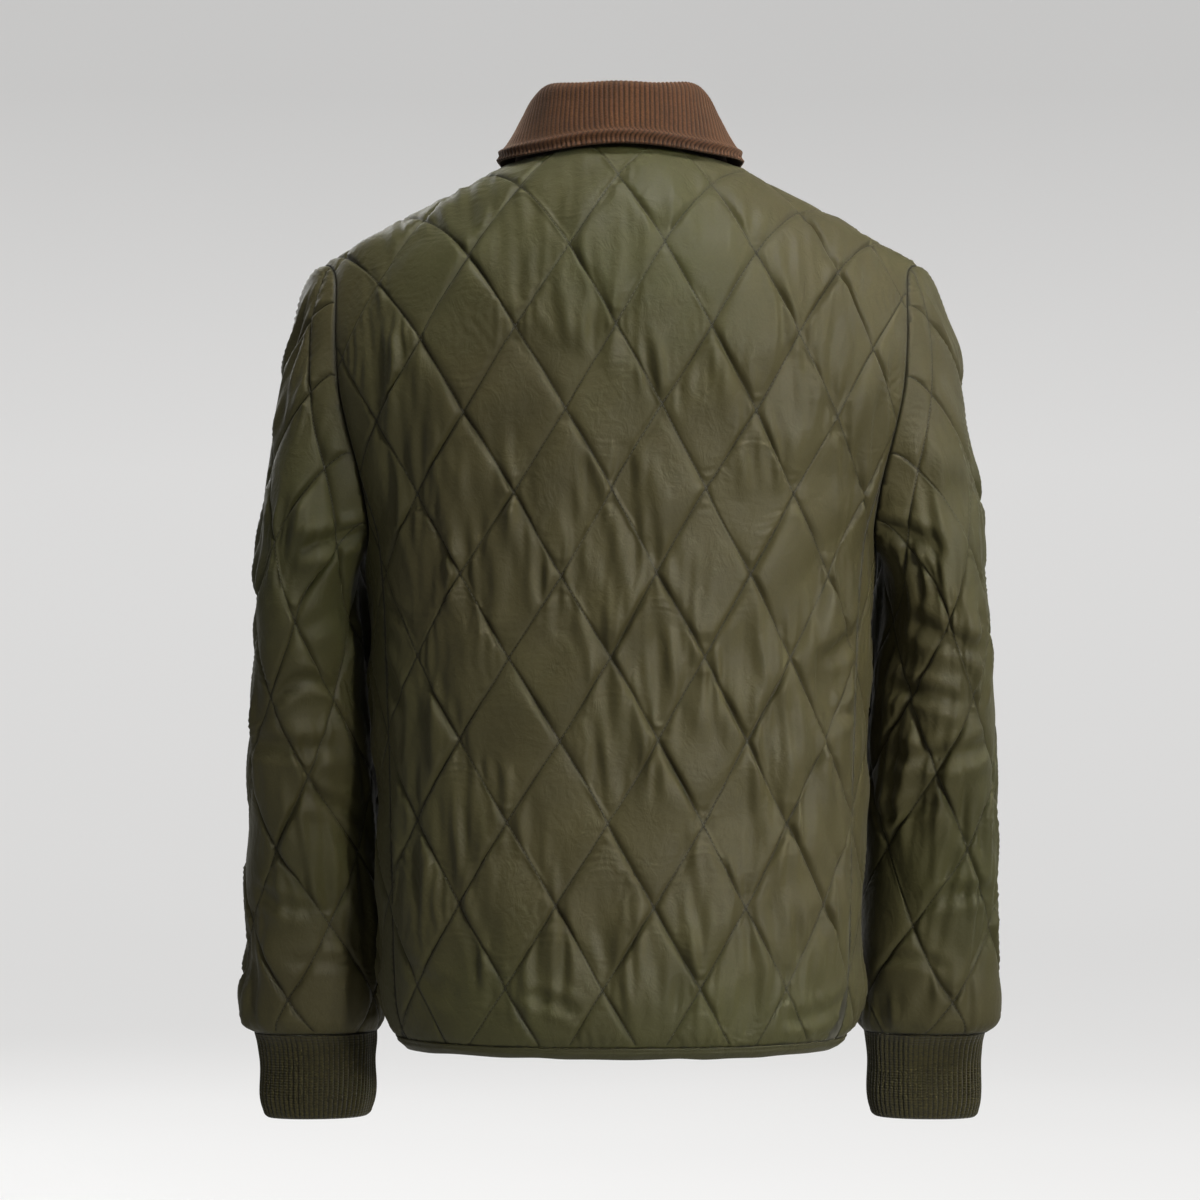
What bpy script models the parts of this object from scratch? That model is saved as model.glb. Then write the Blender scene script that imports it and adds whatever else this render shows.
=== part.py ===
"""Quilted jacket, filled out with no wearer, as thin-walled solids.

Metres, +Z up.  The back faces +Y, the front -Y, and the wearer's left is +X.
The origin lies between the shoulders, at the height where the neck meets them.

Every quilted piece is a flat pattern laid on a curved surface.  Across the
pattern, u is the distance round the body or sleeve; along it, v is the height
or the length.  The outside is raised into diamonds and the inside is plain.
"""
import math

import bmesh
import bpy
import numpy as np
from mathutils import Matrix, Vector
from mathutils.geometry import delaunay_2d_cdt

# ---- driving sizes ----
WALL = 0.003                # quilted cloth at a stitch line
SEAM_GAP = 0.0003           # between two pieces at a seam
ARMHOLE_GAP = 0.0005        # the sleeve stands off the armhole, where the seam curves
PUFF = 0.0045               # middle of a diamond above its stitch lines
PUFF_FULLNESS = 0.6         # under 1 keeps a diamond full up to its stitch lines
SEAM_FADE = 0.018           # the padding thins out over this width at a seam

DIAMOND_WIDTH = 0.071
BODY_DIAMOND_HEIGHT = 0.125
SLEEVE_DIAMOND_HEIGHT = 0.119
CELLS = 3                   # mesh cells along one side of a diamond
EDGE_CLEAR = 0.36           # share of a cell that mesh points keep from an outline
PLAIN_STEP = 0.046          # mesh spacing of the plain inside
PLAIN_ROW = 0.87            # its rows, and its distance from an outline, as shares of that
PLAIN_CLEAR = 0.42
SEAM_STEP = 0.022           # mesh spacing along a seam
WELD = 2e-6
SHARP_ANGLE = math.radians(50)

HEM = -0.681
BINDING_HEIGHT = 0.0085
PANEL_BOTTOM = HEM + BINDING_HEIGHT
UNDERARM = -0.298
GIRTH_HEIGHT = -0.340       # the pattern's widths are true at this height

ROUNDNESS = 2.3             # exponent of the body's oval sections
BODY_SECTIONS = (
    # height, half_width, back_depth, front_depth
    (HEM, 0.1680, 0.1120, 0.1100),
    (-0.674, 0.1742, 0.1170, 0.1150),
    (-0.660, 0.1812, 0.1212, 0.1195),
    (-0.640, 0.1850, 0.1232, 0.1215),
    (-0.600, 0.1870, 0.1240, 0.1225),
    (-0.500, 0.1890, 0.1245, 0.1240),
    (-0.410, 0.1918, 0.1260, 0.1270),
    (GIRTH_HEIGHT, 0.1945, 0.1285, 0.1290),
    (-0.290, 0.1990, 0.1305, 0.1290),
    (-0.250, 0.2110, 0.1325, 0.1280),
    (-0.210, 0.2250, 0.1345, 0.1265),
    (-0.170, 0.2360, 0.1355, 0.1245),
    (-0.120, 0.2430, 0.1355, 0.1215),
    (-0.060, 0.2480, 0.1350, 0.1195),
    (0.060, 0.2500, 0.1350, 0.1190),
)

CREST_TOP = 0.031           # shoulder line at the middle, if the neck were closed
CREST_SLOPE = 0.565
CREST_ROUND = 0.050
SHOULDER_ROLL = 0.150       # height over which the back and front close to the crest
ROLL_ASPECT = 0.85

SIDE_SEAM_ANGLE = math.radians(68)
NECK_HALF_WIDTH = 0.082
NECK_BACK = 0.055           # reach of the neck seam behind and before the crest
NECK_FRONT = 0.105
ARMHOLE_TOP = -0.0745
ARMHOLE_MIDDLE_Y = 0.003
ARMHOLE_REACH = 0.060       # half its width, front to back
ARMHOLE_SQUARE = 0.75       # under 1 squares the oval

QUILT_LEAN = -0.018         # sideways drift of the lattice for each metre of height
QUILT_SHIFT = 0.006
BODY_QUILT_ROW = -0.2525    # height of one row of crossings on the centre back
ROW_DROOP = 0.022           # rows hang lower near the shoulders
DROOP_START = -0.330
DROOP_HEIGHT = 0.300
DROOP_REACH = 0.200
DROOP_TURN = 0.200          # past this the rows rise again, level with the back at the front

SLEEVE_TOP_RING = -0.340    # the sleeve hangs in level rings below this height
SLEEVE_RINGS = (
    # height, outer_x, inner_x, middle_y, half_depth
    (-0.6765, 0.2895, 0.1935, -0.055, 0.0365),
    (-0.6720, 0.2935, 0.1915, -0.055, 0.0410),
    (-0.6640, 0.2968, 0.1893, -0.055, 0.0455),
    (-0.6500, 0.2970, 0.1885, -0.055, 0.0480),
    (-0.6300, 0.2945, 0.1890, -0.054, 0.0510),
    (-0.5800, 0.2920, 0.1910, -0.050, 0.0570),
    (-0.5200, 0.2900, 0.1925, -0.044, 0.0640),
    (-0.4600, 0.2870, 0.1950, -0.036, 0.0710),
    (-0.4000, 0.2802, 0.1985, -0.027, 0.0770),
    (SLEEVE_TOP_RING, 0.2748, 0.2047, -0.018, 0.0800),
)
SLEEVE_ROUNDNESS = 2.15
SLEEVE_SKEW = 0.22          # the sleeve's flat side turns with the body's side
SLEEVE_WRIST = 0.330        # width of the flat sleeve at the cuff and at the armhole
SLEEVE_BICEPS = 0.412
SLEEVE_QUILT_SHIFT = 0.006
SLEEVE_QUILT_ROW = 0.028    # a row of crossings above the cuff seam
CAP_DIRECTION = (0.80, -0.70, 0.10)     # turn away from the body: mean, top to bottom, waist
CAP_LEAVING = (0.069, 0.042, 0.009)      # reach of the first part of the curve
CAP_ARRIVING = (0.1875, 0.185, 0.0475)

CUFF_RIBS = 60
CUFF_RIB_HEIGHT = 0.0009
CUFF_WALL = 0.0022
CUFF_RINGS = (
    # height, outer_x, inner_x, half_depth, rib_share
    (-0.6768, 0.2880, 0.1950, 0.0363, 0.3),
    (-0.6840, 0.2855, 0.1960, 0.0325, 1.0),
    (-0.6950, 0.2841, 0.1968, 0.0305, 1.0),
    (-0.7375, 0.2818, 0.1990, 0.0290, 1.0),
    (-0.7422, 0.2803, 0.2005, 0.0277, 0.7),
    (-0.7438, 0.2788, 0.2020, 0.0262, 0.3),
)
CUFF_MIDDLE_Y = -0.055

COLLAR_WALL = 0.0026
COLLAR_RIDGE = 0.0011       # the turned edge stands out along its stitching
COLLAR_PROFILES = (
    # part, back_out, back_up, side_out, side_up, front_out, front_up, raised
    ("seam", 0.0000, 0.0009, 0.0000, 0.0009, 0.0000, 0.0009, 0.0),
    ("stand", -0.0010, 0.0150, -0.0050, 0.0165, 0.0005, 0.0100, 0.0),
    ("stand_top", -0.0020, 0.0300, -0.0105, 0.0340, 0.0010, 0.0200, 0.0),
    ("roll_in", -0.0012, 0.0372, -0.0135, 0.0457, 0.0030, 0.0262, 0.0),
    ("roll_top", 0.0030, 0.0406, -0.0115, 0.0508, 0.0065, 0.0285, 0.0),
    ("roll_out", 0.0072, 0.0382, -0.0074, 0.0483, 0.0105, 0.0255, 0.0),
    ("fall_high", 0.0108, 0.0270, -0.0022, 0.0350, 0.0140, 0.0130, 0.0),
    ("fall_low", 0.0146, 0.0145, 0.0042, 0.0192, 0.0175, -0.0030, 0.0),
    ("ridge_top", 0.0174, 0.0066, 0.0085, 0.0105, 0.0203, -0.0150, 0.1),
    ("ridge", 0.0190, 0.0028, 0.0104, 0.0074, 0.0211, -0.0200, 1.0),
    ("groove", 0.0203, -0.0008, 0.0120, 0.0045, 0.0218, -0.0245, 0.1),
    ("edge", 0.0220, -0.0046, 0.0138, 0.0014, 0.0228, -0.0295, -0.4),
)
COLLAR_FALL_START = 5       # profile points before the fall
COLLAR_STATIONS = 37
COLLAR_STEP = 0.01          # turn over which the neck's direction is read
COLLAR_END_SEAM = 0.004     # distance of the collar's ends from the centre front
COLLAR_END_EDGE = 0.034
COLLAR_FRONT_DELAY = 2.0    # over 1 keeps the side profile further round to the front
COLLAR_FRONT_TURN = math.pi / 2 - 0.25      # from the side profile to the front one

PLACKET_HALF_WIDTH = 0.018
PLACKET_INSIDE = 0.0004
PLACKET_OUTSIDE = 0.0030
PLACKET_CLEAR = 0.0012      # plain strip of the front beside the placket
PLACKET_TOP_CLEAR = 0.0012
PLACKET_ROWS = 30
HEM_BINDING_PROFILE = (
    # down from its top seam as a share of its height, out from the cloth
    (0.0, 0.0008), (0.47, 0.0016), (0.82, 0.0012), (1.0, 0.0),
    (1.0, -WALL), (0.82, -WALL - 0.0008), (0.0, -WALL - 0.0008),
)
SNAP_RADIUS = 0.0075
SNAP_HEIGHT = 0.0028
SNAP_COUNT = 5
SNAP_TOP = -0.090
SNAP_BOTTOM = -0.640
SNAP_SIDES = 16
SNAP_RINGS = ((1.0, 0.0), (1.0, 0.45), (0.8, 0.85), (0.35, 1.0))    # radius, height

# ---- materials: colour, roughness, metallic ----
NYLON = ("nylon", (0.105, 0.100, 0.062), 0.42, 0.0)
RIB_KNIT = ("rib_knit", (0.034, 0.032, 0.016), 0.90, 0.0)
CORDUROY = ("corduroy", (0.120, 0.058, 0.030), 0.85, 0.0)
BRASS = ("snap_metal", (0.180, 0.140, 0.080), 0.38, 1.0)


def clear_scene():
    for old in list(bpy.data.objects):
        bpy.data.objects.remove(old, do_unlink=True)


def material(spec):
    name, colour, roughness, metallic = spec
    found = bpy.data.materials.get(name)
    if found:
        return found
    made = bpy.data.materials.new(name)
    made.use_nodes = True
    shader = made.node_tree.nodes["Principled BSDF"]
    shader.inputs["Base Color"].default_value = (*colour, 1.0)
    shader.inputs["Roughness"].default_value = roughness
    shader.inputs["Metallic"].default_value = metallic
    return made


# ---- small maths ----
def smoothstep(value):
    t = np.clip(value, 0.0, 1.0)
    return t * t * (3.0 - 2.0 * t)


def smooth_table(table, column, at):
    """Read one column of a table smoothly, without overshoot, at heights in column 0."""
    rows = sorted(table)
    xs = np.array([row[0] for row in rows])
    ys = np.array([row[column] for row in rows])
    step = np.diff(xs)
    slope = np.diff(ys) / step
    inner = np.where(slope[:-1] * slope[1:] > 0,
                     2 * slope[:-1] * slope[1:] / (slope[:-1] + slope[1:] + 1e-30), 0.0)
    tangent = np.concatenate(([slope[0]], inner, [slope[-1]]))
    at = np.clip(at, xs[0], xs[-1])
    i = np.clip(np.searchsorted(xs, at) - 1, 0, len(step) - 1)
    t = (at - xs[i]) / step[i]
    return (ys[i] * (1 + 2 * t) * (1 - t) ** 2 + ys[i + 1] * t * t * (3 - 2 * t)
            + step[i] * (tangent[i] * t * (1 - t) ** 2 + tangent[i + 1] * t * t * (t - 1)))


def signed_power(value, exponent):
    return np.sign(value) * np.abs(value) ** exponent


def three_term(terms, turn):
    """A quantity that goes round a ring: mean, once-round and twice-round parts."""
    mean, once, twice = terms
    return mean + once * np.cos(turn) + twice * np.cos(2 * turn)


def unit(vectors):
    return vectors / np.linalg.norm(vectors, axis=-1, keepdims=True)


# ---- the body's surface ----
def girth_table():
    """Distance round the body against angle, at chest height, from the centre back."""
    angle = np.linspace(0.0, math.pi, 721)
    _, half, back, front = next(row for row in BODY_SECTIONS if row[0] == GIRTH_HEIGHT)
    x = half * signed_power(np.sin(angle), 2 / ROUNDNESS)
    deep = signed_power(np.cos(angle), 2 / ROUNDNESS)
    y = deep * np.where(deep > 0, back, front)
    run = np.concatenate(([0.0], np.cumsum(np.hypot(np.diff(x), np.diff(y)))))
    return angle, run


def roll_table():
    """Distance along the shoulder roll against its angle, for a roll one unit high."""
    angle = np.linspace(0.0, math.pi / 2, 181)
    speed = np.hypot(np.cos(angle), ROLL_ASPECT * np.sin(angle))
    run = np.concatenate(([0.0], np.cumsum((speed[1:] + speed[:-1]) / 2 * np.diff(angle))))
    return angle, run


GIRTH_ANGLE, GIRTH = girth_table()
HALF_GIRTH = GIRTH[-1]
ROLL_ANGLE, ROLL_RUN = roll_table()


def crest(x):
    return CREST_TOP - CREST_SLOPE * (np.sqrt(x * x + CREST_ROUND ** 2) - CREST_ROUND)


def body_point(u, v):
    """The outside of the body cloth at its stitch lines."""
    u, v = np.asarray(u, float), np.asarray(v, float)
    angle = np.interp(np.abs(u), GIRTH, GIRTH_ANGLE)
    across = signed_power(np.sin(angle), 2 / ROUNDNESS)
    deep = signed_power(np.cos(angle), 2 / ROUNDNESS)
    z = v
    for _ in range(5):
        x = smooth_table(BODY_SECTIONS, 1, z) * across
        start = crest(x) - SHOULDER_ROLL
        turn = np.interp(np.maximum(v - start, 0.0) / SHOULDER_ROLL, ROLL_RUN, ROLL_ANGLE)
        z = np.where(v > start, start + SHOULDER_ROLL * np.sin(turn), v)
    depth = np.where(deep > 0, smooth_table(BODY_SECTIONS, 2, z), smooth_table(BODY_SECTIONS, 3, z))
    return np.stack([np.sign(u) * x, depth * deep * np.cos(turn), z], axis=-1)


def body_pattern(x, z, front):
    """The pattern place of the point at x and z on the left half of the back or front."""
    angle = np.arcsin(np.clip(x / smooth_table(BODY_SECTIONS, 1, z), 0, 1) ** (ROUNDNESS / 2))
    angle = np.where(front, math.pi - angle, angle)
    start = crest(x) - SHOULDER_ROLL
    turn = np.arcsin(np.clip((z - start) / SHOULDER_ROLL, 0, 1))
    v = np.where(z > start, start + SHOULDER_ROLL * np.interp(turn, ROLL_ANGLE, ROLL_RUN), z)
    return np.stack([np.interp(angle, GIRTH_ANGLE, GIRTH), v], axis=-1)


def surface_normal(surface, u, v, step_u=0.0004, step_v=0.0004):
    """Outward normal of a surface with two parameters."""
    along = surface(u, v + step_v) - surface(u, v - step_v)
    across = surface(u + step_u, v) - surface(u - step_u, v)
    return unit(np.cross(along, across))


def body_cloth(places):
    """Points and outward normals of the body at pattern places."""
    u, v = places.T
    return body_point(u, v), surface_normal(body_point, u, v)


def body_x_at(y, z):
    """Half width of the body where its surface has the given depth at the given height."""
    low = np.zeros_like(y)
    high = smooth_table(BODY_SECTIONS, 1, z)
    for _ in range(40):
        x = (low + high) / 2
        lift = np.clip((z - crest(x)) / SHOULDER_ROLL + 1, 0, 1)
        depth = np.where(y > 0, smooth_table(BODY_SECTIONS, 2, z), smooth_table(BODY_SECTIONS, 3, z))
        full = np.clip(1 - (x / smooth_table(BODY_SECTIONS, 1, z)) ** ROUNDNESS, 0, 1)
        reach = depth * full ** (1 / ROUNDNESS) * np.sqrt(1 - lift ** 2)
        outside = (reach < np.abs(y)) | (z > crest(x))
        high = np.where(outside, x, high)
        low = np.where(outside, low, x)
    return (low + high) / 2


# ---- seams of the body, as pattern points on the left half ----
def armhole_places(turn):
    """Points of the armhole; turn 0 is the shoulder and a quarter turn the back."""
    middle = (ARMHOLE_TOP + UNDERARM) / 2
    z = middle + (ARMHOLE_TOP - UNDERARM) / 2 * np.cos(turn)
    y = ARMHOLE_MIDDLE_Y * (1 - np.cos(turn)) / 2
    y = y + ARMHOLE_REACH * signed_power(np.sin(turn), ARMHOLE_SQUARE)
    y = np.where(np.abs(y) < 1e-5, 1e-5, y)
    return body_pattern(body_x_at(y, z), z, y < 0)


def side_seam_turn():
    """Where the side seam meets the armhole."""
    turns = np.linspace(math.pi / 2, math.pi, 400)
    return np.interp(SIDE_SEAM, armhole_places(turns)[:, 0], turns)


SIDE_SEAM = np.interp(SIDE_SEAM_ANGLE, GIRTH_ANGLE, GIRTH)
SIDE_SEAM_TURN = side_seam_turn()
BACK_TURNS = np.linspace(0.0, SIDE_SEAM_TURN, 14)
FRONT_TURNS = np.concatenate([np.linspace(SIDE_SEAM_TURN, math.pi, 7),
                              np.linspace(math.pi, 2 * math.pi, 18)[1:]])


def steps_between(start, end, step=SEAM_STEP):
    return np.linspace(start, end, max(2, round(abs(end - start) / step) + 1))


def points(us, vs):
    return np.stack(np.broadcast_arrays(us, vs), axis=-1)


def shoulder_line(front):
    """From the shoulder point to the side of the neck, along the crest."""
    x = steps_between(body_point(*armhole_places(np.array([0.0]))[0])[0], NECK_HALF_WIDTH)
    return body_pattern(x, crest(x), front)


def neck_places(turn, front):
    """The neck seam, an oval from above; turn 0 is the middle of the back or front."""
    x = NECK_HALF_WIDTH * np.sin(turn)
    reach = np.where(front, NECK_FRONT, NECK_BACK) * np.cos(turn)
    z = crest(x)
    for _ in range(4):
        half = smooth_table(BODY_SECTIONS, 1, z)
        depth = np.where(front, smooth_table(BODY_SECTIONS, 3, z), smooth_table(BODY_SECTIONS, 2, z))
        full = depth * (1 - (x / half) ** ROUNDNESS) ** (1 / ROUNDNESS)
        lean = np.arccos(np.clip(reach / full, 0, 1))
        z = crest(x) - SHOULDER_ROLL * (1 - np.sin(lean))
    angle = np.arcsin((x / half) ** (ROUNDNESS / 2))
    angle = np.where(front, math.pi - angle, angle)
    v = crest(x) - SHOULDER_ROLL * (1 - np.interp(lean, ROLL_ANGLE, ROLL_RUN))
    return points(np.interp(angle, GIRTH_ANGLE, GIRTH), v)


def neck_line(front, count=10):
    """From the side of the neck to the middle."""
    return neck_places(np.linspace(math.pi / 2, 0.0, count), front)


def join(*lines):
    """Chain lines end to end, dropping each repeated corner."""
    return np.concatenate([lines[0]] + [line[1:] for line in lines[1:]])


def side_line():
    top = armhole_places(np.array([SIDE_SEAM_TURN]))[0, 1]
    return points(SIDE_SEAM, steps_between(PANEL_BOTTOM, top))


def back_outline():
    """Counter-clockwise in the pattern, from the bottom right corner."""
    bottom = points(steps_between(-SIDE_SEAM, SIDE_SEAM), PANEL_BOTTOM)
    half = join(side_line(), armhole_places(BACK_TURNS[::-1]), shoulder_line(False), neck_line(False))
    mirrored = half[::-1] * (-1, 1)
    return join(bottom, half, mirrored)[:-1]


def front_outline():
    """The left front, counter-clockwise in the pattern, from the bottom of the side seam."""
    bottom = points(steps_between(SIDE_SEAM, HALF_GIRTH), PANEL_BOTTOM)
    neck = neck_line(True)
    middle = points(HALF_GIRTH, steps_between(PANEL_BOTTOM, neck[-1, 1]))
    return join(bottom, middle, neck[::-1], shoulder_line(True)[::-1],
                armhole_places(FRONT_TURNS[::-1]), side_line()[::-1])[:-1]


def inset(outline, gap):
    """Move a counter-clockwise outline inwards by the gap."""
    after = np.roll(outline, -1, axis=0) - outline
    before = outline - np.roll(outline, 1, axis=0)
    inward_after = unit(np.stack([-after[:, 1], after[:, 0]], axis=-1))
    inward_before = unit(np.stack([-before[:, 1], before[:, 0]], axis=-1))
    bisector = unit(inward_after + inward_before)
    return outline + bisector * gap / np.maximum((bisector * inward_after).sum(-1, keepdims=True), 0.5)


# ---- flat pattern work ----
def distance_to(outline, places):
    """Distance of each place from a closed outline."""
    start, end = outline, np.roll(outline, -1, axis=0)
    run = end - start
    rel = places[:, None, :] - start[None]
    t = np.clip((rel * run).sum(-1) / (run * run).sum(-1), 0, 1)
    return np.linalg.norm(rel - t[..., None] * run, axis=-1).min(axis=1)


def inside(outline, places):
    """Whether each place lies within a closed outline."""
    x0, y0 = outline[:, 0], outline[:, 1]
    x1, y1 = np.roll(x0, -1), np.roll(y0, -1)
    px, py = places[:, :1], places[:, 1:]
    crosses = (y0 > py) != (y1 > py)
    with np.errstate(divide="ignore", invalid="ignore"):
        at = (x1 - x0) * (py - y0) / (y1 - y0) + x0
    return (crosses & (px < at)).sum(axis=1) % 2 == 1


def lattice(outline, width, height, shift, row, step):
    """Points of a slanted grid over the outline, with their two counts along the stitch lines."""
    low, high = outline.min(axis=0), outline.max(axis=0)
    reach = int(max((high[0] - low[0]) / width, (high[1] - low[1]) / height) * step * 2) + 8 * step
    centre = (low + high) / 2
    offset = ((centre[0] - shift) / width, (centre[1] - row) / height)
    p0 = round((offset[0] + offset[1]) * step)
    q0 = round((offset[0] - offset[1]) * step)
    p, q = np.meshgrid(np.arange(p0 - reach, p0 + reach + 1), np.arange(q0 - reach, q0 + reach + 1))
    p, q = p.ravel(), q.ravel()
    u = shift + (p + q) / step * width / 2
    v = row + (p - q) / step * height / 2
    return np.stack([u, v], axis=-1), p, q


def diamond_puff(p, q, step):
    """Height of the padding at a grid point, 0 on a stitch line and 1 mid-diamond."""
    share = np.sin(math.pi * p / step) * np.sin(math.pi * q / step)
    return np.abs(share) ** PUFF_FULLNESS


def triangulate(outline, inner, lines=()):
    """Triangles over the outline; its points come first, in order."""
    everything = [Vector(p) for p in np.concatenate([outline, inner])]
    count = len(outline)
    edges = [(i, (i + 1) % count) for i in range(count)] + list(lines)
    result = delaunay_2d_cdt(everything, edges, [list(range(count))], 1, 1e-7)
    places, faces, origins = result[0], result[2], result[3]
    order = {source: new for new, sources in enumerate(origins) for source in sources}
    rank = {order[old]: old for old in sorted(order, reverse=True)}
    if len(places) != len(everything):
        raise ValueError("the pattern crosses itself")
    return [tuple(rank[i] for i in face) for face in faces]


def plain_points(outline):
    """Points for the plain inside."""
    low, high = outline.min(axis=0), outline.max(axis=0)
    rows = np.arange(low[1], high[1], PLAIN_STEP * PLAIN_ROW)
    found = [(u + (k % 2) * PLAIN_STEP / 2, v) for k, v in enumerate(rows)
             for u in np.arange(low[0], high[0], PLAIN_STEP)]
    found = np.array(found)
    return found[inside(outline, found) & (distance_to(outline, found) > PLAIN_STEP * PLAIN_CLEAR)]


def quilted_wall(name, outline, grid, puffs, cloth, sewn_edges=(), guide=None):
    """One cloth panel: a raised outside, a plain inside and rims, as one closed mesh.

    grid holds the lattice points with their puffs, and cloth gives points and normals.
    An outline edge in sewn_edges has no rim: it is sewn to its twin.
    guide is a column of pattern points that the outside must follow.
    """
    clear = DIAMOND_WIDTH / CELLS * EDGE_CLEAR
    keep = inside(outline, grid) & (distance_to(outline, grid) > clear)
    lines = ()
    if guide is not None:
        keep &= np.abs(grid[:, 0] - guide[0, 0]) > clear
        keep &= np.abs(grid[:, 0]) < abs(guide[0, 0])
        first = len(outline)
        lines = [(first + i, first + i + 1) for i in range(len(guide) - 1)]
    raised, height = grid[keep], puffs[keep]
    height = height * smoothstep(distance_to(outline, raised) / SEAM_FADE)
    if guide is not None:
        raised = np.concatenate([guide, raised])
        height = np.concatenate([np.zeros(len(guide)), height])
    outer_faces = triangulate(outline, raised, lines)
    plain = plain_points(outline)
    inner_faces = triangulate(outline, plain)

    count = len(outline)
    outer_places = np.concatenate([outline, raised])
    outer_height = np.concatenate([np.zeros(count), height])[:, None]
    inner_places = np.concatenate([outline, plain])
    skin, out = cloth(outer_places)
    outer = skin + out * outer_height
    skin, out = cloth(inner_places)
    inner = skin - out * WALL
    base = len(outer)
    faces = [tuple(reversed(face)) for face in outer_faces]
    faces += [tuple(base + i for i in face) for face in inner_faces]
    for i in range(count):
        j = (i + 1) % count
        if i not in sewn_edges:
            faces.append((i, j, base + j, base + i))
    return solid(name, np.concatenate([outer, inner]), faces, NYLON, weld=bool(sewn_edges))


def solid(name, vertices, faces, look, weld=False, smooth=True):
    """A closed mesh object with its faces pointing out."""
    mesh = bpy.data.meshes.new(name)
    mesh.from_pydata([tuple(v) for v in vertices], [], faces)
    work = bmesh.new()
    work.from_mesh(mesh)
    if weld:
        bmesh.ops.remove_doubles(work, verts=work.verts, dist=WELD)
    bmesh.ops.triangulate(work, faces=work.faces)
    bmesh.ops.recalc_face_normals(work, faces=work.faces)
    work.to_mesh(mesh)
    work.free()
    mesh.materials.append(material(look))
    if smooth:
        mesh.shade_smooth()
        mesh.set_sharp_from_angle(angle=SHARP_ANGLE)
    made = bpy.data.objects.new(name, mesh)
    bpy.context.collection.objects.link(made)
    return made


# ---- the body panels ----
def body_droop(v):
    return ROW_DROOP * smoothstep((v - DROOP_START) / DROOP_HEIGHT)


def droop_shape(u):
    """Share of the droop across the body: none at the centre back and at the centre front."""
    inner = np.minimum(np.abs(u), DROOP_TURN)
    outer = np.maximum(np.abs(u) - DROOP_TURN, 0.0)
    rest = HALF_GIRTH - DROOP_TURN
    fall = (DROOP_TURN ** 2 + 2 * DROOP_TURN * rest) / rest ** 2
    return (inner ** 2 + 2 * DROOP_TURN * outer - fall * outer ** 2) / DROOP_REACH ** 2


def body_spread(v):
    """Width of the pattern as a share of the body's, so that diamonds keep their size."""
    return smooth_table(BODY_SECTIONS, 1, GIRTH_HEIGHT) / smooth_table(BODY_SECTIONS, 1, v)


def body_grid(outline):
    grid, p, q = lattice(outline, DIAMOND_WIDTH, BODY_DIAMOND_HEIGHT, QUILT_SHIFT, BODY_QUILT_ROW, CELLS)
    grid[:, 0] += QUILT_LEAN * (grid[:, 1] - BODY_QUILT_ROW)
    grid[:, 1] -= body_droop(grid[:, 1]) * droop_shape(grid[:, 0])
    grid[:, 0] *= body_spread(grid[:, 1])
    return grid, PUFF * diamond_puff(p, q, CELLS)


def make_back():
    outline = inset(back_outline(), SEAM_GAP / 2)
    grid, puffs = body_grid(outline)
    quilted_wall("back", outline, grid, puffs, body_cloth)


def make_front(name, side):
    outline = front_outline()
    if side < 0:
        outline = outline[::-1] * (-1, 1)
    outline = inset(outline, SEAM_GAP / 2)
    grid, puffs = body_grid(outline)
    edge = HALF_GIRTH - PLACKET_HALF_WIDTH - PLACKET_CLEAR
    puffs = puffs * smoothstep((edge - np.abs(grid[:, 0])) / SEAM_FADE)
    neck_u, neck_v = neck_line(True, 40).T
    rows = steps_between(PANEL_BOTTOM + SEAM_STEP, np.interp(edge, neck_u, neck_v) - SEAM_STEP / 2)
    quilted_wall(name, outline, grid, puffs, body_cloth, guide=points(side * edge, rows))


# ---- the sleeves ----
def oval(turn, half_x, half_y):
    """A leaning oval about the sleeve's middle line."""
    power = 2 / SLEEVE_ROUNDNESS
    y = half_y * signed_power(np.sin(turn), power)
    return half_x * signed_power(np.cos(turn), power) + SLEEVE_SKEW * y, y


def sleeve_ring(turn, z):
    """A level ring of the left sleeve; turn 0 is its outer side and a quarter turn its back."""
    outer, inner, middle, deep = (smooth_table(SLEEVE_RINGS, column, z) for column in (1, 2, 3, 4))
    x, y = oval(turn, (outer - inner) / 2, deep)
    return np.stack([(outer + inner) / 2 + x, middle + y, z + 0 * x], axis=-1)


def armhole_frame():
    """Around the armhole: turn, edge points and the direction in which the sleeve leaves."""
    turn = np.linspace(0.0, 2 * math.pi, 721)
    skin, out = body_cloth(armhole_places(turn))
    ahead = np.roll(skin[:-1], -1, axis=0) - np.roll(skin[:-1], 1, axis=0)
    ahead = unit(np.concatenate([ahead, ahead[:1]]))
    opening = unit(np.cross(ahead, out))
    lift = three_term(CAP_DIRECTION, turn)[:, None]
    leave = unit(np.cos(lift) * opening + np.sin(lift) * out)
    return turn, skin + leave * ARMHOLE_GAP, leave


ARM_TURN, ARM_EDGE, ARM_LEAVE = armhole_frame()
SLEEVE_END = SLEEVE_RINGS[0][0]
SLEEVE_STRAIGHT = SLEEVE_TOP_RING - SLEEVE_END
CAP_SAMPLES = 49


def periodic(turn, values):
    turn = np.mod(turn, 2 * math.pi)
    return np.stack([np.interp(turn, ARM_TURN, values[:, k]) for k in range(3)], axis=-1)


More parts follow.
